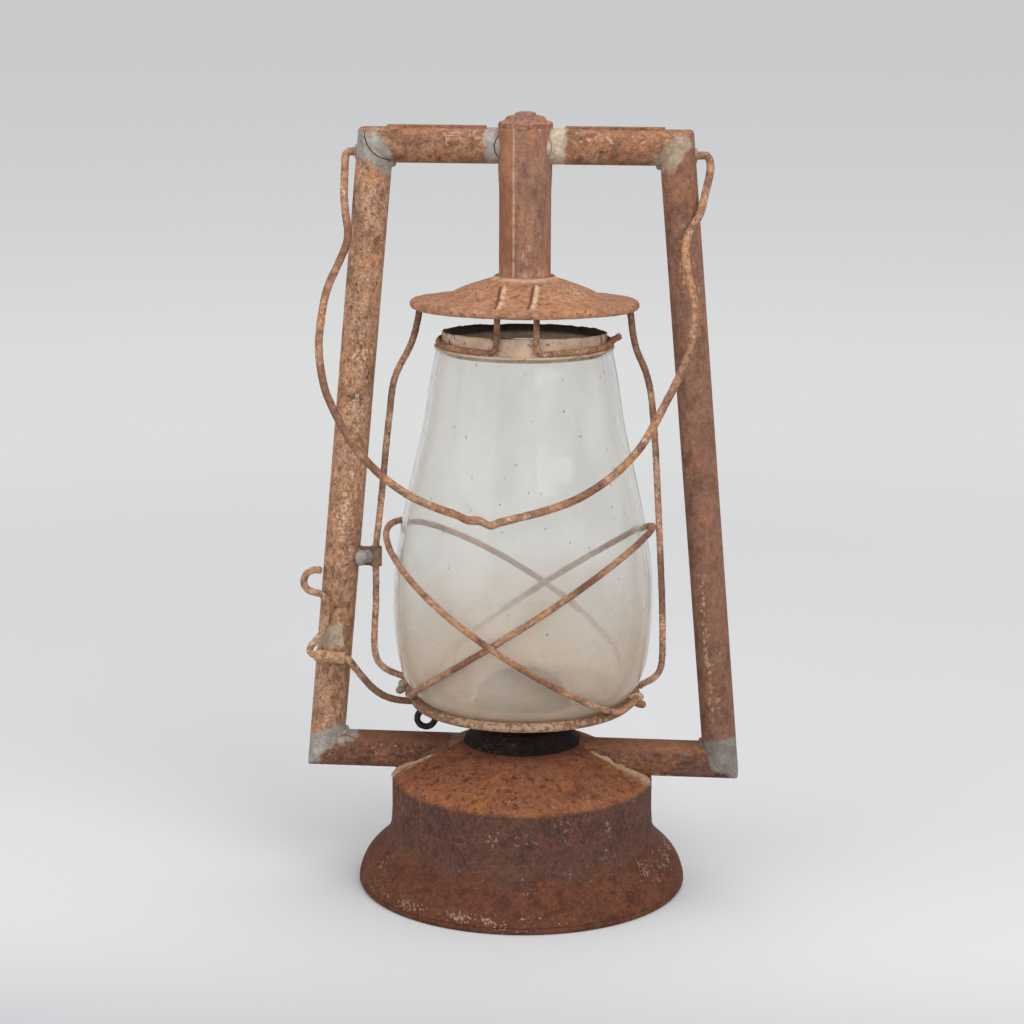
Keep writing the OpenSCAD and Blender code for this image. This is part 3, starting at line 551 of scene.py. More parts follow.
# Rust has its tone, size, streak, chalk, pits, grit and seed in that order
finishes = {
    "left_side_tube": rust(
        "left_side_rust", LEFT_TUBE, 2.4, UPRIGHT, 0.55, 0.6, 1.5, 1, [(SOLDER, TOP_LEFT + LOW_LEFT)],
        TOP_LEFT_SEAM, lanes=LEFT_LANES, fade=(60, 200, 0.88)),
    "right_side_tube": rust(
        "right_side_rust", RIGHT_TUBE, 2.6, UPRIGHT, 0.2, 0.2, 0.9, 2,
        [(DULL_SOLDER, LOW_RIGHT), (TAN_SOLDER, TOP_RIGHT)], lanes=RIGHT_LANES, fade=(60, 220, 0.84)),
    "left_top_tube": rust(
        "left_top_rust", TOP_TUBE, 2.6, LEVEL, 0.55, 0.4, 1.4, 3, [(SOLDER, TOP_LEFT + TEE_LEFT)],
        TOP_LEFT_SEAM + TEE_LEFT_SEAM),
    "right_top_tube": rust(
        "right_top_rust", TOP_TUBE, 2.6, LEVEL, 0.55, 0.4, 1.4, 4,
        [(TAN_SOLDER, TOP_RIGHT), (CREAM_SOLDER, TEE_RIGHT)], TEE_RIGHT_SEAM, BROWN_SOLDER),
    "left_lower_tube": rust(
        "left_lower_rust", LOW_TUBE, 2.4, LEVEL, 0.45, 0.4, 1.7, 5,
        [(SOLDER, LOW_LEFT), (BROWN_SOLDER, CHAMBER_LEFT)], LOW_LEFT_SEAM, RUST_LINE,
        painted_top_light=(LOW_TUBE.warm, 62, 64.5)),
    "right_lower_tube": rust(
        "right_lower_rust", LOW_TUBE, 2.4, LEVEL, 0.4, 0.2, 1.4, 6,
        [(DULL_SOLDER, LOW_RIGHT), (TAN_SOLDER, DOME_RIGHT)], painted_top_light=(srgb(146, 100, 72), 61.5, 64)),
    "crown_cap": rust("cap_rust", CROWN, 2.2, EVEN, 0.4, 0.5, 1.4, 8),
    "canopy_sleeve": rust("sleeve_rust", CANOPY, 2.4, EVEN, 0.3, 0.3, 1.2, 10),
    "base_skirt": skirt_rust("skirt_rust", 11),
    "fount_drum": rust("drum_rust", DRUM, 2.2, UPRIGHT, 0.45, 0.2, 1.2, 32),
    "fount_bottom": rust("bottom_rust", DRUM, 2.6, EVEN, 0.2, 0.4, 1.0, 13),
    "filler_neck": rust("neck_rust", DOME, 2, EVEN, 0.3, 0.3, 1.0, 14),
    "filler_cap": rust("filler_rust", TOP_TUBE, 2, EVEN, 0.6, 0.5, 1.3, 15),
    "air_chamber": rust("soot_and_shade_chamber", CHAMBER, 2.4, LEVEL, 0.35, 0.3, 1.6, 16),
    "burner_body": dull_metal("tarnished_burner", BRASS, 0.5, 17, 0.6, TARNISH),
    "wick_tube": dull_metal("tarnished_tube", BRASS, 0.5, 18, 0.6, TARNISH),
    "burner_cone": dull_metal("sooty_cone", srgb(104, 88, 66), 0.55, 19, 0.5, srgb(46, 38, 32)),
    "winder_shaft": dull_metal("black_shaft", srgb(44, 40, 40), 0.6, 20, 0.2, srgb(70, 56, 48)),
    "winder_wheels": dull_metal("wheel_brass", srgb(120, 98, 62), 0.5, 21, 0.6),
    "left_bail_eyelet": dull_metal("eyelet_tin_left", SOLDER, 0.5, 22, 0.2, WIRE.warm),
    "right_bail_eyelet": dull_metal("eyelet_tin_right", SOLDER, 0.5, 23, 0.2, WIRE.warm),
    "guide_clip": dull_metal("clip_tin", srgb(150, 122, 98), 0.7, 24, 0.0, WIRE.cool),
    "lever_strap": strap_tin("strap_tin", 25),
    "globe_plate": worn_tin("plate_tin", PALE_TIN, 27, 0.48),
    "plate_ring": worn_tin("ring_tin", srgb(178, 147, 121), 28, 0.46, 2),
    "globe": dusty_glass("globe_glass"),
    "wick": woven("wick_cotton", srgb(206, 192, 160), 29),
    "filler_gasket": dull_metal("gasket_cork", srgb(150, 112, 74), 0.9, 30, 0.0, srgb(96, 66, 42)),
}
for node, material in finishes.items():
    for place in nodes[node].material_slots:
        place.material = material


# Building of pieces

def mesh_of(build):
    mesh = bpy.data.meshes.new("piece")
    bmesh.ops.recalc_face_normals(build, faces=build.faces)
    build.to_mesh(mesh)
    build.free()
    return mesh


def add_piece(name, mesh, material, body, node=None):
    """A smooth piece that rides on a body and may stand for a CAD node."""
    mesh.name = name
    mesh.polygons.foreach_set("use_smooth", [True] * len(mesh.polygons))
    mesh.materials.clear()
    mesh.materials.append(material)
    piece = bpy.data.objects.new(name, mesh)
    scene.collection.objects.link(piece)
    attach(piece, body)
    if node:
        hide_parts(node)


# Steps between two points of a curve, and round a lathe's full turn
CURVE_STEPS = 10
ROUND = 240
FINE_ROUND = 288


def curve_through(points, spacing):
    """Points at an even spacing on a smooth curve through the given ones, in millimetres."""
    fine = []
    last = len(points) - 1
    for k in range(last):
        before, start, end, after = (Vector(points[min(max(k + j, 0), last)]) for j in (-1, 0, 1, 2))
        for step in range(CURVE_STEPS):
            t = step / CURVE_STEPS
            bend = 2 * before - 5 * start + 4 * end - after
            sway = 3 * (start - end) + after - before
            fine.append(start + 0.5 * t * (end - before + t * (bend + t * sway)))
    fine.append(Vector(points[last]))
    even = [fine[0]]
    for point in fine[1:]:
        if (point - even[-1]).length >= spacing:
            even.append(point)
    return even


# Spacing of a rod's rings, a direction that none starts along, and its lumps and end faces by its radius
ROD_SPACING = 0.35
ROD_UP = (0.31, 0.52, 0.79)
LUMP_SIZE = 1.6
END_FACE = 0.02


def rod(points, radius, wobble, seed, sides=14, taper=0.0):
    """Rounded bar along a curve through points, uneven by a share wobble and thinner to its end by taper."""
    path = curve_through(points, ROD_SPACING)
    build = bmesh.new()
    length = 0.0
    total = sum((b - a).length for a, b in zip(path, path[1:]))
    up = Vector(ROD_UP)
    rings = []
    for k, point in enumerate(path):
        ahead = path[min(k + 1, len(path) - 1)] - path[max(k - 1, 0)]
        side = ahead.cross(up).normalized()
        rise = side.cross(ahead).normalized()
        up = rise
        end = max(min(length, total - length, radius), END_FACE * radius)
        round_end = math.sqrt(1 - (1 - end / radius) ** 2)
        thin = 1 - taper * length / total
        ring = []
        for j in range(sides):
            angle = 2 * math.pi * j / sides
            way = math.cos(angle) * side + math.sin(angle) * rise
            place = (point + radius * way) / (LUMP_SIZE * radius)
            lump = 1 + wobble * noise.noise(place + Vector((seed, 0, 0)))
            ring.append(build.verts.new((point + radius * thin * round_end * lump * way) * MM))
        rings.append(ring)
        if k + 1 < len(path):
            length += (path[k + 1] - point).length
    for first, second in zip(rings, rings[1:]):
        for j in range(sides):
            build.faces.new((first[j], first[j - 1], second[j - 1], second[j]))
    build.faces.new(rings[0])
    build.faces.new(rings[-1])
    return mesh_of(build)


def lathe(section, turns, move):
    """Closed section of (radius, height) turned round the axis; move shifts each point, in millimetres."""
    build = bmesh.new()
    rings = []
    for k in range(turns):
        angle = 2 * math.pi * k / turns
        ring = [Vector((r * math.cos(angle), r * math.sin(angle), z)) for r, z in section]
        rings.append([build.verts.new(move(point) * MM) for point in ring])
    count = len(section)
    for k in range(turns):
        here, following = rings[k], rings[(k + 1) % turns]
        for j in range(count):
            build.faces.new((here[j - 1], here[j], following[j], following[j - 1]))
    return mesh_of(build)


def soft_edge(value, low, high):
    """Smooth rise from 0 at low to 1 at high; high may be the smaller one."""
    share = min(max((value - low) / (high - low), 0), 1)
    return share * share * (3 - 2 * share)


def hump(value, centre, half):
    """One at a centre, falling off over a half width."""
    return math.exp(-((value - centre) / half) ** 2)


def dents(point, layers):
    """Sum of layers of noise, each with its depth and size in millimetres and its own offset."""
    return sum(depth * noise.noise(point / size + Vector(offset)) for depth, size, offset in layers)


# Wires: rounder, rust-eaten copies of the CAD wires

# Flaking skin of a wire: its depth and size in millimetres, and the share and size of its finer flakes
FLAKE_DEPTH = 0.13
FLAKE_SIZE = 2.6
FINE_SHARE = 0.6
FINE_SIZE = 0.35


def flake(mesh, swell, seed):
    """Moves a mesh out along its normals by swell, and in and out by noise."""
    offset = Vector((seed, 2 * seed, 3 * seed))
    moves = []
    for vertex in mesh.vertices:
        coarse = noise.noise(vertex.co / (FLAKE_SIZE * MM) + offset)
        fine = noise.noise(vertex.co / (FINE_SIZE * FLAKE_SIZE * MM) - offset)
        moves.append(vertex.normal * MM * (swell + FLAKE_DEPTH * (coarse + FINE_SHARE * fine)))
    for vertex, move in zip(mesh.vertices, moves):
        vertex.co += move


# The bail's middle: its bend turns over a reach between sides of a slope, with kinks as (x, lift, half width)
BAIL_REACH = 6
BAIL_SLOPE = 0.32
BAIL_KINKS = [(-8.8, -0.75, 3.2), (-3.2, 0.55, 2.4), (0.9, -1.2, 2.5), (6, -0.25, 4)]


def kink_bail(mesh):
    """Rounds the lowest bend of the hanging bail and gives it a dip."""
    lowest = min(mesh.vertices, key=lambda vertex: vertex.co.z).co.x
    for vertex in mesh.vertices:
        x = (vertex.co.x - lowest) / MM
        lift = BAIL_SLOPE * (math.hypot(x, BAIL_REACH) - abs(x))
        for place, height, half in BAIL_KINKS:
            lift += height * hump(x, place, half)
        vertex.co.z += lift * MM


# Rounding of the CAD wires: subdivisions, how near points are one point, and angles at which triangles join
ROUNDING = 2
SAME_POINT = 1e-6
JOIN_FACE = 0.6
JOIN_SHAPE = 1.2


def rusted_wire(seed, node, body, sides, diameter, tone, chalk):
    """Smooth copy of a swept CAD wire with that many sides, with a flaking skin."""
    mesh = nodes[node].data.copy()
    build = bmesh.new()
    build.from_mesh(mesh)
    bmesh.ops.remove_doubles(build, verts=build.verts, dist=SAME_POINT)
    bmesh.ops.join_triangles(build, faces=build.faces, angle_face_threshold=JOIN_FACE,
                             angle_shape_threshold=JOIN_SHAPE)
    build.to_mesh(mesh)
    build.free()
    rough = bpy.data.objects.new(node + "_rough", mesh)
    scene.collection.objects.link(rough)
    rough.modifiers.new("round", "SUBSURF").levels = ROUNDING
    graph = bpy.context.evaluated_depsgraph_get()
    smooth = bpy.data.meshes.new_from_object(rough.evaluated_get(graph))
    bpy.data.objects.remove(rough)
    if node == "bail":
        kink_bail(smooth)
    shrink = diameter / 2 * (1 - math.cos(2 * math.pi / sides)) / 3
    flake(smooth, shrink, seed)
    skin = rust(node + "_rust", tone, 2.6, EVEN, chalk, 0.5, 1.4, seed, dark=DARK_WIRE, depth=0.25)
    add_piece(node + "_wire", smooth, skin, body, node)


# Each wire's node, body, sides and diameter in the CAD model, tone and chalk
WIRES = [
    ("bail", "bail_handle", 10, 3.4, BAIL, 0.7),
    ("lift_lever", "lever", 10, 3.2, LEVER, 0.8),
    ("left_guard", "cage", 10, 2.9, GUARD, 0.9),
    ("right_guard", "cage", 10, 2.9, GUARD, 0.9),
    ("left_cross_wire", "cage", 8, 2.8, BAIL, 0.6),
    ("right_cross_wire", "cage", 8, 2.8, BAIL, 0.6),
    ("globe_spring_wire", "cage", 8, 2.7, BAIL, 0.8),
]
for seed, wire in enumerate(WIRES, 41):
    rusted_wire(seed, *wire)

# Twisted wire ends where the guards meet the cross wires, as colour, radius and path
END_WOBBLE = 0.3
WIRE_ENDS = {
    "left_wire_end": (
        TAN_SOLDER, 1.8, [(-52.4, 3.6, 86.8), (-54, 2.4, 85.7), (-55.6, 1.6, 84.8), (-56.8, 1, 84.2)]),
    "left_wire_nub": (
        TAN_SOLDER, 1.9, [(-51.4, 3.4, 88.4), (-53, 2.2, 88), (-54.6, 1, 87.6), (-55.4, 0.4, 87.2)]),
    "right_wire_end": (
        CREAM_SOLDER, 1.9, [(47.4, -3.6, 85), (49.6, -2, 85.6), (52, -0.8, 85.8), (54, 0.2, 85.4)]),
    "right_wire_nub": (
        WIRE.body, 1.8, [(49.4, 0.4, 84.2), (51.4, 0.2, 83), (53.4, 0.1, 82), (54.8, 0, 81.4)]),
    "right_wire_foot": (
        WIRE.body, 1.6, [(51.4, 1.4, 90), (50.2, 1, 88.8), (49.6, 0.2, 87.2), (49.6, -0.6, 85.8)]),
}
for seed, (name, (tin, radius, points)) in enumerate(WIRE_ENDS.items(), 51):
    skin = crusted_solder(name + "_crust", tin, seed)
    add_piece(name, rod(points, radius, END_WOBBLE, seed), skin, "cage")


# Canopy: thin dented bell that hangs a little askew, with two pressed beads over the spring wire's arms
CANOPY_RIM = (47.6, 1.6, 1.8)
CANOPY_BELL = [(47.3, 3.4), (46.2, 3.5), (42, 3.7), (36.5, 4.4), (32.5, 5.7), (28.6, 7.8), (23.8, 9.7),
               (18, 11.6), (14.2, 12.8), (12.6, 14.2)]
BELL_SPACING = 0.7
CANOPY_WALL = (0.2, 0.8)
CANOPY_DENTS = [(0.25, 17, (3, 1, 7)), (0.14, 5, (0, 0, 0))]
CANOPY_FREE = (14, 24)
CANOPY_TILT = math.radians(2)
TILT_CENTRE = Vector((0, 0, CANOPY_Z + 6))
NECK_SPECKS_R = (17, 13)
NECK_PALE_R = (16, 12.6)
# Heights over which the painted shade on the canopy's underside begins
UNDER_Z = (257.8, 259.2)
BEADS_X = (-6.9, 6.9)
BEAD_FRONT = -44
BEAD_BACK = -20
BEAD_H = 1.7
BEAD_HALF = 1.25


def canopy_section():
    centre, height, roll = CANOPY_RIM
    turns = [math.radians(angle) for angle in range(180, 451, 18)]
    rim = [(centre + roll * math.cos(a), height + roll * math.sin(a)) for a in turns]
    bell = [tuple(point) for point in curve_through(CANOPY_BELL, BELL_SPACING)]
    under = [(r - CANOPY_WALL[0], z - CANOPY_WALL[1]) for r, z in reversed(bell)]
    return [(r, z + CANOPY_Z) for r, z in rim + bell + under]


def canopy_move(point):
    free = soft_edge(math.hypot(point.x, point.y), *CANOPY_FREE)
    front = soft_edge(point.y, BEAD_FRONT - 1.5, BEAD_FRONT + 1)
    back = soft_edge(point.y, BEAD_BACK + 1.5, BEAD_BACK - 1)
    bead = sum(BEAD_H * hump(point.x, x, BEAD_HALF) * (front * back) for x in BEADS_X)
    tilted = Matrix.Rotation(-CANOPY_TILT * free, 3, "X") @ (point - TILT_CENTRE)
    return tilted + TILT_CENTRE + Vector((0, 0, free * dents(point, CANOPY_DENTS) + bead))


def canopy_rust(name, seed):
    """Warm rust, pale along the neck, with painted highlights on the crests of the beads and painted shade
    beside them, and painted shade making it darker underneath.
    """
    paint = Paint(name)
    neck = paint.rise(paint.radius(), NECK_SPECKS_R, 0.1)
    colour, height = rust_colour(paint, CANOPY, 2.4, (0.8, 1, 1), 0.45, 0.7, 1.0, seed, neck)
    colour = paint.blend(paint.rise(paint.radius(), NECK_PALE_R, 0.5), colour, CANOPY.pale)
    back = paint.rise(paint.y, (BEAD_BACK + 3, BEAD_BACK - 2))
    front = paint.rise(paint.y, (BEAD_FRONT - 2, BEAD_FRONT + 1))
    run = paint.times(back, front)
    crest_highlight_share = paint.times(run, paint.step(paint.noise(4, 4, seed + 7), 0.36, 0.52))
    # Painted shade beside each bead and a painted highlight on its crest, where light catches the ridge
    for x in BEADS_X:
        painted_bead_shade = paint.times(paint.near(paint.x, x - 1.3, 1.5), run)
        colour = paint.blend(painted_bead_shade, colour, CANOPY.deep)
        painted_crest_highlight = paint.times(paint.near(paint.x, x + 0.5, 1.5), crest_highlight_share)
        colour = paint.blend(painted_crest_highlight, colour, CANOPY.pale)
    # Painted shade: the canopy's underside, below this height, is given a darker colour
    above = paint.rise(paint.z, UNDER_Z)
    under = paint.shade(CANOPY.cool, paint.noise(3, 4, seed + 8), 0.6, 1.2)
    paint.bump(height, 0.35)
    return paint.finish(paint.blend(above, under, colour))


bell = lathe(canopy_section(), FINE_ROUND, canopy_move)
add_piece("canopy_bell", bell, canopy_rust("canopy_rust", 9), "cage", "canopy")


# Collar: worn ring on the globe's mouth, set askew, with a ragged edge and two dents in front
COLLAR_H = 5.9
COLLAR_R = 35
COLLAR_SECTION = [(34.6, -1.6), (34.6, 0), (34.7, 1.5), (34.7, 3), (34.7, 4.5), (34.8, 5.6), (35.2, 5.9),
                  (35.6, 5.6), (35.6, 4.5), (35.6, 3), (35.6, 1.6), (35.9, 1.0), (36.6, 0.8), (37.8, 0.75),
                  (38.8, 0.6), (38.9, 0.3), (38.6, 0.05), (36, 0.05), (35.2, -0.6), (35.2, -1.6)]
COLLAR_DENTS = [(-3, 4, 0.9), (9, 5, 0.63)]
COLLAR_FRONT = (25, 33)
COLLAR_LIFT = 0.85
COLLAR_TILT = 1.85
COLLAR_SOOT = (35.0, 242.5)


def collar_move(point):
    share = max(point.z, 0) / COLLAR_H
    outward = Vector((point.x, point.y, 0)).normalized()
    ragged = 0.35 * noise.noise(outward * 6) + 0.3 * noise.noise(outward * 17)
    dent = sum(depth * hump(point.x, x, half) for x, half, depth in COLLAR_DENTS)
    inward = dent * soft_edge(-point.y, *COLLAR_FRONT) * share * (1 - 0.5 * share)
    askew = COLLAR_LIFT - COLLAR_TILT * point.y / COLLAR_R
    return point - outward * inward + Vector((0, 0, MOUTH_Z + share * (askew + share * ragged)))


collar = lathe(COLLAR_SECTION, ROUND, collar_move)
collar_tin = worn_tin("collar_tin", PALE_TIN, 26, 0.57, 3, COLLAR_SOOT)
add_piece("collar_ring", collar, collar_tin, "cage", "globe_collar")


# Crown tube: squarer where the top tubes meet it, with the lapped edge of its seam
CROWN_R = 11.1
CROWN_BORE = 10.3
CROWN_FOOT = 258.5
CROWN_TOP = 335
CROWN_STEPS = 60
SQUARE_START = 306
SQUARE_FULL = 320
SEAM_TURN = math.radians(-21)
SEAM_LAP = 0.35
LAP_START = (-0.02, 0.02)
LAP_FADE = (0.7, 0.1)


def crown_section():
    length = CROWN_TOP - CROWN_FOOT
    heights = [CROWN_FOOT + k * length / CROWN_STEPS for k in range(CROWN_STEPS + 1)]
    return [(CROWN_R, z) for z in heights] + [(CROWN_BORE, z) for z in reversed(heights)]


def crown_move(point):
    radius = math.hypot(point.x, point.y)
    power = 2 + 3 * soft_edge(point.z, SQUARE_START, SQUARE_FULL)
    square = ((abs(point.x) / radius) ** power + (abs(point.y) / radius) ** power) ** (-1 / power)
    beyond = SEAM_TURN - math.atan2(point.x, -point.y)
    lap = soft_edge(beyond, *LAP_START) * soft_edge(beyond, *LAP_FADE)
    grown = (radius * square + SEAM_LAP * lap) / radius
    return Vector((point.x * grown, point.y * grown, point.z))


pipe = lathe(crown_section(), FINE_ROUND, crown_move)
add_piece("crown_pipe", pipe, crown_rust("crown_rust", 7), "frame", "crown_tube")


# Fount: dome with a rounded, dented shoulder, and the bend between drum and foot
DOME_EDGE = [(57.9, 46.7), (57.85, 47.1), (57.6, 47.8), (57.05, 48.5), (56.2, 49.1), (55, 49.9)]
DOME_TOP = (25, 65.2)
DOME_BOW = 0.25
DOME_WALL = (0.5, 0.8)
DOME_STEPS = 40
DOME_FREE_Z = (47, 48.5)
DOME_FREE_R = (25, 30)
DOME_DENTS = [(0.22, 15, (0, 0, 0)), (0.16, 4.5, (5, 2, 1))]
DRUM_R = 57.9
SHOULDER_Z = 48.2
FILLER_AT = Vector((0, 43))
FILLER_HOLE = 7
BEND_SECTION = [(57.6, 34), (57.95, 33.6), (58, 31.5), (58.2, 29), (58.32, 27.5), (58.5, 26), (58.8, 24.8),
                (59.4, 23), (60.3, 21.2), (61.4, 19.6), (62.6, 18.2), (63.4, 17.4), (64, 16.85), (64.6, 16.2),
                (65.3, 15.5), (64.2, 15.6), (60.5, 19.2), (57.6, 26)]
BEND_LOW = (19, 24)
BEND_HIGH = (34, 31)
BEND_WAVE = 0.003
WAVE_SIZE = 9


def dome_section():
    outer = list(DOME_EDGE)
    start = DOME_EDGE[-1][0]
    end, top = DOME_TOP
    for k in range(1, DOME_STEPS + 1):
        r = start + (end - start) * k / DOME_STEPS
        u = (DRUM_R - r) / (DRUM_R - end)
        outer.append((r, SHOULDER_Z + (top - SHOULDER_Z) * u * (1 + DOME_BOW * (1 - u))))
    inner = [(r - DOME_WALL[0], z - DOME_WALL[1]) for r, z in reversed(outer)]
    return outer + inner


def dome_move(point):
    radius = math.hypot(point.x, point.y)
    free = soft_edge(point.z, *DOME_FREE_Z) * soft_edge(radius, *DOME_FREE_R)
    return point + Vector((0, 0, free * dents(point, DOME_DENTS)))


def without_filler_hole(mesh):
    """Removes the faces inside the filler's neck."""
    build = bmesh.new()
    build.from_mesh(mesh)
    inside = [f for f in build.faces if (f.calc_center_median().xy / MM - FILLER_AT).length < FILLER_HOLE]
    bmesh.ops.delete(build, geom=inside, context="FACES")
    build.to_mesh(mesh)
    build.free()
    return mesh


def bend_move(point):
    middle = soft_edge(point.z, *BEND_LOW) * soft_edge(point.z, *BEND_HIGH)
    return point * (1 + BEND_WAVE * noise.noise(point / WAVE_SIZE) * middle)


dome = without_filler_hole(lathe(dome_section(), FINE_ROUND, dome_move))
add_piece("dome_lid", dome, dome_rust("dome_rust", 12), "frame", "fount_dome")
bend = lathe(BEND_SECTION, ROUND, bend_move)
add_piece("foot_bend", bend, skirt_rust("bend_rust", 11), "frame")


# Solder that shows as lumps: fillets between the lower tubes and the dome, inner corners, and the clip's pad
FILLET_FOOT = [(56.8, 7.6, 46.6), (56.2, 7.4, 48.2), (54.4, 7.1, 50)]
FILLET_START = -54
FILLET_STEP = 6
FILLET_SINK = (0.1, 0.3)


def tube_on_dome(side, front, top):
    """Where a lower tube meets the dome, from its shoulder up to an angle round it; front is -1 or 1."""
    solid = nodes["fount_dome"].data
    dome = BVHTree.FromPolygons([v.co for v in solid.vertices], [p.vertices for p in solid.polygons])
    found = [Vector((side * x, front * y, z)) for x, y, z in FILLET_FOOT]
    for degrees in range(FILLET_START, top, FILLET_STEP):
        angle = math.radians(degrees)
        y = front * (HALF_FLAT + TUBE_W / 2 * math.cos(angle))
        z = LOW_Z + TUBE_W / 2 * math.sin(angle)
        start = Vector((side * LOW_HALF, y, z)) * MM
        hit = dome.ray_cast(start, Vector((-side, 0, 0)))[0]
        if hit:
            found.append(hit / MM - Vector((side * FILLET_SINK[0], front * FILLET_SINK[1], 0)))
    return found


def inner_corner(side, level, way):
    """Crease on the inside of a frame corner, from front to back; way is 1 where the opening lies above."""
    crease = []
    for y in (-4.4, -3, -1, 1, 3, 4.4):
        depth = math.sqrt((TUBE_W / 2) ** 2 - max(abs(y) - HALF_FLAT, 0) ** 2)
        z = level + way * depth
        x = TOP_HALF + (TOP_Z - z) * math.tan(LEAN) - depth / math.cos(LEAN)
        crease.append((side * x, y, z))
    return crease


FILLETS = {"left_front": (-1, -1, 12), "right_front": (1, -1, 40),
           "left_back": (-1, 1, 20), "right_back": (1, 1, 20)}
FILLET_R = 2.2
FILLET_WOBBLE = 0.8
FILLET_TAPER = 0.6
for seed, (name, place) in enumerate(FILLETS.items(), 61):
    lump = rod(tube_on_dome(*place), FILLET_R, FILLET_WOBBLE, seed, taper=FILLET_TAPER)
    add_piece(name + "_fillet", lump, crusted_solder(name + "_solder", FILLET, seed), "frame")

CORNERS = {"top_left": (-1, TOP_Z, -1, SOLDER), "top_right": (1, TOP_Z, -1, DULL_SOLDER),
           "low_left": (-1, LOW_Z, 1, SOLDER), "low_right": (1, LOW_Z, 1, DULL_SOLDER)}
CORNER_R = 1.7
CORNER_WOBBLE = 0.5
for seed, (name, (side, level, way, tin)) in enumerate(CORNERS.items(), 71):
    lump = rod(inner_corner(side, level, way), CORNER_R, CORNER_WOBBLE, seed)
    add_piece(name + "_corner", lump, crusted_solder(name + "_solder", tin, seed), "frame")

CLIP_LUMPS = {
    "clip_pad": (3.7, [(-73.4, -7.0, 147.2), (-71.6, -5.6, 147), (-70, -3.6, 146.8), (-68.8, -2.4, 146.6)]),
    "clip_neck": (3.0, [(-72, -5.2, 147), (-69.6, -3, 146.8), (-67.4, -1.6, 146.6), (-65.8, -1.2, 146.6)]),
}
CLIP_WOBBLE = 0.3
CLIP_SIDES = 20
pad_solder = crusted_solder("pad_solder", SOLDER, 81)
for seed, (name, (radius, points)) in enumerate(CLIP_LUMPS.items(), 81):
    lump = rod(points, radius, CLIP_WOBBLE, seed, CLIP_SIDES)
    add_piece(name, lump, pad_solder, "frame")

# Thick ring of the winder's handle, round the shaft's own
RING_AT = Vector((-41.5, -12.44, 76.6))
RING_R = 3.9
RING_TURN = math.radians(9.5)
RING_BAR_R = 1.4
RING_WOBBLE = 0.1


def ring_path():
    across = Vector((math.cos(RING_TURN), math.sin(RING_TURN), 0))
    angles = [math.radians(angle) for angle in range(0, 401, 20)]
    return [RING_AT + RING_R * (math.cos(a) * across + math.sin(a) * Vector((0, 0, 1))) for a in angles]


ring = rod(ring_path(), RING_BAR_R, RING_WOBBLE, 83)
add_piece("winder_ring", ring, finishes["winder_shaft"], "winder")


# Camera, at the photograph's viewing angle

CAMERA_AT = (0.1023, -1.1147, 0.4139)
CAMERA_PITCH = 12.39
CAMERA_YAW = 5.5
CAMERA_ROLL = 0.26
LENS = 92.15
SENSOR = 36

lens = bpy.data.cameras.new("camera")
lens.lens = LENS
lens.sensor_width = SENSOR
camera = bpy.data.objects.new("camera", lens)
turn = Matrix.Rotation(math.radians(CAMERA_YAW), 4, "Z")
nod = Matrix.Rotation(math.radians(90 - CAMERA_PITCH), 4, "X")
roll = Matrix.Rotation(math.radians(CAMERA_ROLL), 4, "Z")
camera.matrix_world = Matrix.Translation(CAMERA_AT) @ turn @ nod @ roll
scene.collection.objects.link(camera)
scene.camera = camera


# Floor and light
NEAR_PAPER = srgb(221, 222, 223)
# Painted shade: the floor's front is darker paper
FRONT_PAPER = srgb(180, 181, 184)
FAR_PAPER = srgb(220, 221, 221)
HORIZON = srgb(200, 201, 203)
AMBIENT = (0.46, 0.46, 0.47, 1)

# Floor in metres: its radius, where its front turns darker with painted shade and where its shadow fades
FLOOR_R = 30
FRONT_FADE = (-0.06, -0.3)
SHADOW_FADE = (0.3, 1.1)

# One by the distance from which the floor turns to the horizon's colour
HORIZON_START = 0.75

# Lamps as place and size in metres and power in watts, and the point that they face
LAMPS = {
    "key": ((1.1, -1.35, 1.3), 1.5, 23),
    "fill": ((-1.4, -1.1, 0.9), 1.8, 13.5),
    "top": ((0.1, 0.2, 1.7), 1.3, 9),
}
LAMP_AIM = Vector((0, 0, 0.16))


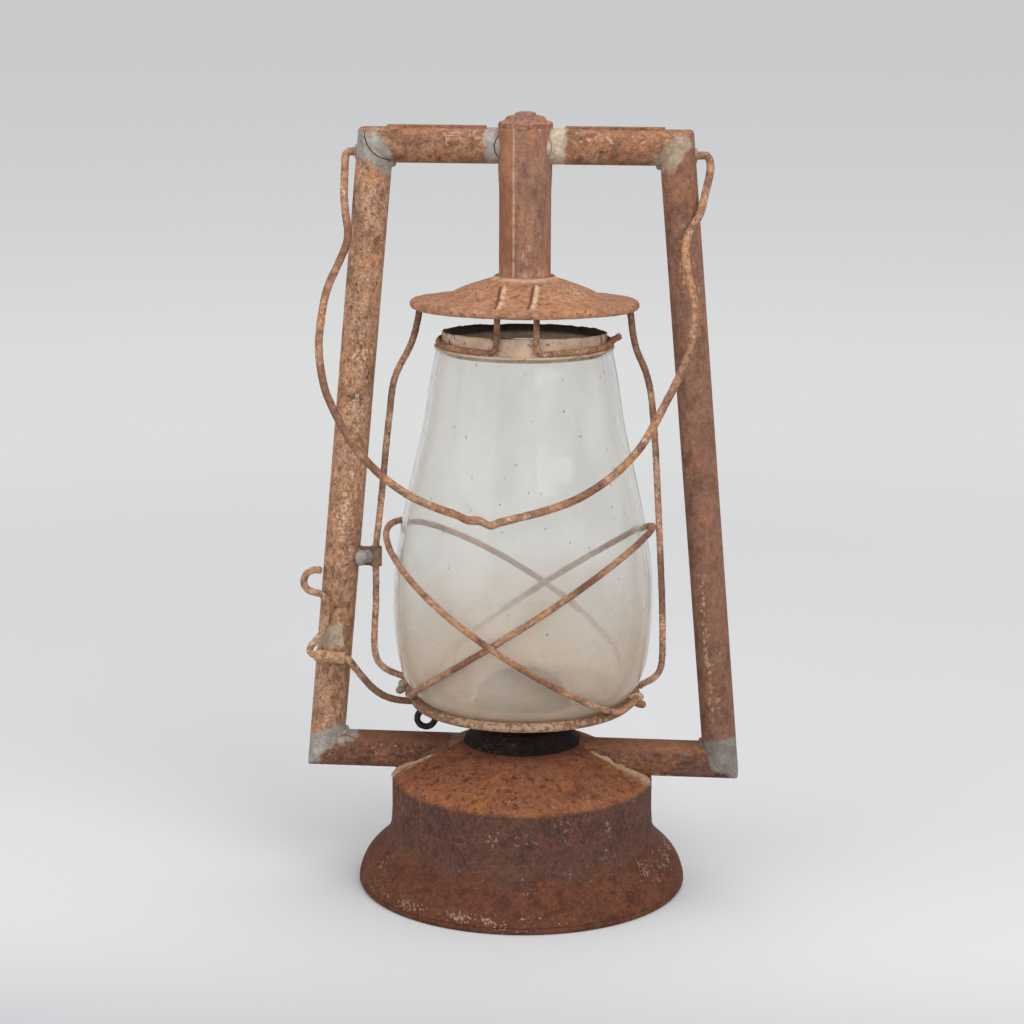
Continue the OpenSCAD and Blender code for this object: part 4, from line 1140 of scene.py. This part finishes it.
def seen_rays(tree):
    """One for rays from the camera, from a mirror or through glass, and zero for the light itself."""
    path = tree.nodes.new("ShaderNodeLightPath")
    share = path.outputs["Is Camera Ray"]
    for other in ("Is Glossy Ray", "Is Transmission Ray"):
        either = tree.nodes.new("ShaderNodeMath")
        either.operation = "MAXIMUM"
        tree.links.new(share, either.inputs[0])
        tree.links.new(path.outputs[other], either.inputs[1])
        share = either.outputs[0]
    return share


def floor():
    """Pale paper that keeps the shadow near the lantern, with painted shade darkening its front; farther out
    it glows for camera, mirror and glass rays, and fades into an even backdrop that turns to the horizon's
    colour.
    """
    build = bmesh.new()
    bmesh.ops.create_circle(build, cap_ends=True, segments=96, radius=FLOOR_R)
    piece = bpy.data.objects.new("floor", mesh_of(build))
    scene.collection.objects.link(piece)
    paint = Paint("paper", roughness=0.95, specular=0.1)
    paint.finish(paint.blend(paint.step(paint.y, *FRONT_FADE), NEAR_PAPER, FRONT_PAPER))
    away = paint.radius()
    far = paint.step(paint.math("DIVIDE", 1.0, away), HORIZON_START, 0.0)
    painted_top_light = paint.node("ShaderNodeEmission", {"Color": paint.blend(far, FAR_PAPER, HORIZON)})
    paint.show_instead(paint.times(paint.step(away, *SHADOW_FADE), seen_rays(paint.tree)), painted_top_light)
    piece.data.materials.append(paint.material)


def softbox(name, place, size, power):
    light = bpy.data.lights.new(name, "AREA")
    light.shape = "SQUARE"
    light.size = size
    light.energy = power
    lamp = bpy.data.objects.new(name, light)
    aim = LAMP_AIM - Vector(place)
    lamp.rotation_euler = aim.to_track_quat("-Z", "Y").to_euler()
    lamp.location = place
    scene.collection.objects.link(lamp)


def studio():
    """Even light from all round, behind a backdrop of the horizon's colour."""
    world = bpy.data.worlds.new("studio")
    scene.world = world
    world.use_nodes = True
    tree = world.node_tree
    colour = tree.nodes.new("ShaderNodeMix")
    colour.data_type = "RGBA"
    colour.inputs[MIX_BELOW].default_value = AMBIENT
    colour.inputs[MIX_ABOVE].default_value = HORIZON
    tree.links.new(seen_rays(tree), colour.inputs[0])
    tree.links.new(colour.outputs[MIX_RESULT], tree.nodes["Background"].inputs["Color"])


floor()
studio()
for name, lamp in LAMPS.items():
    softbox(name, *lamp)

bpy.context.view_layer.update()
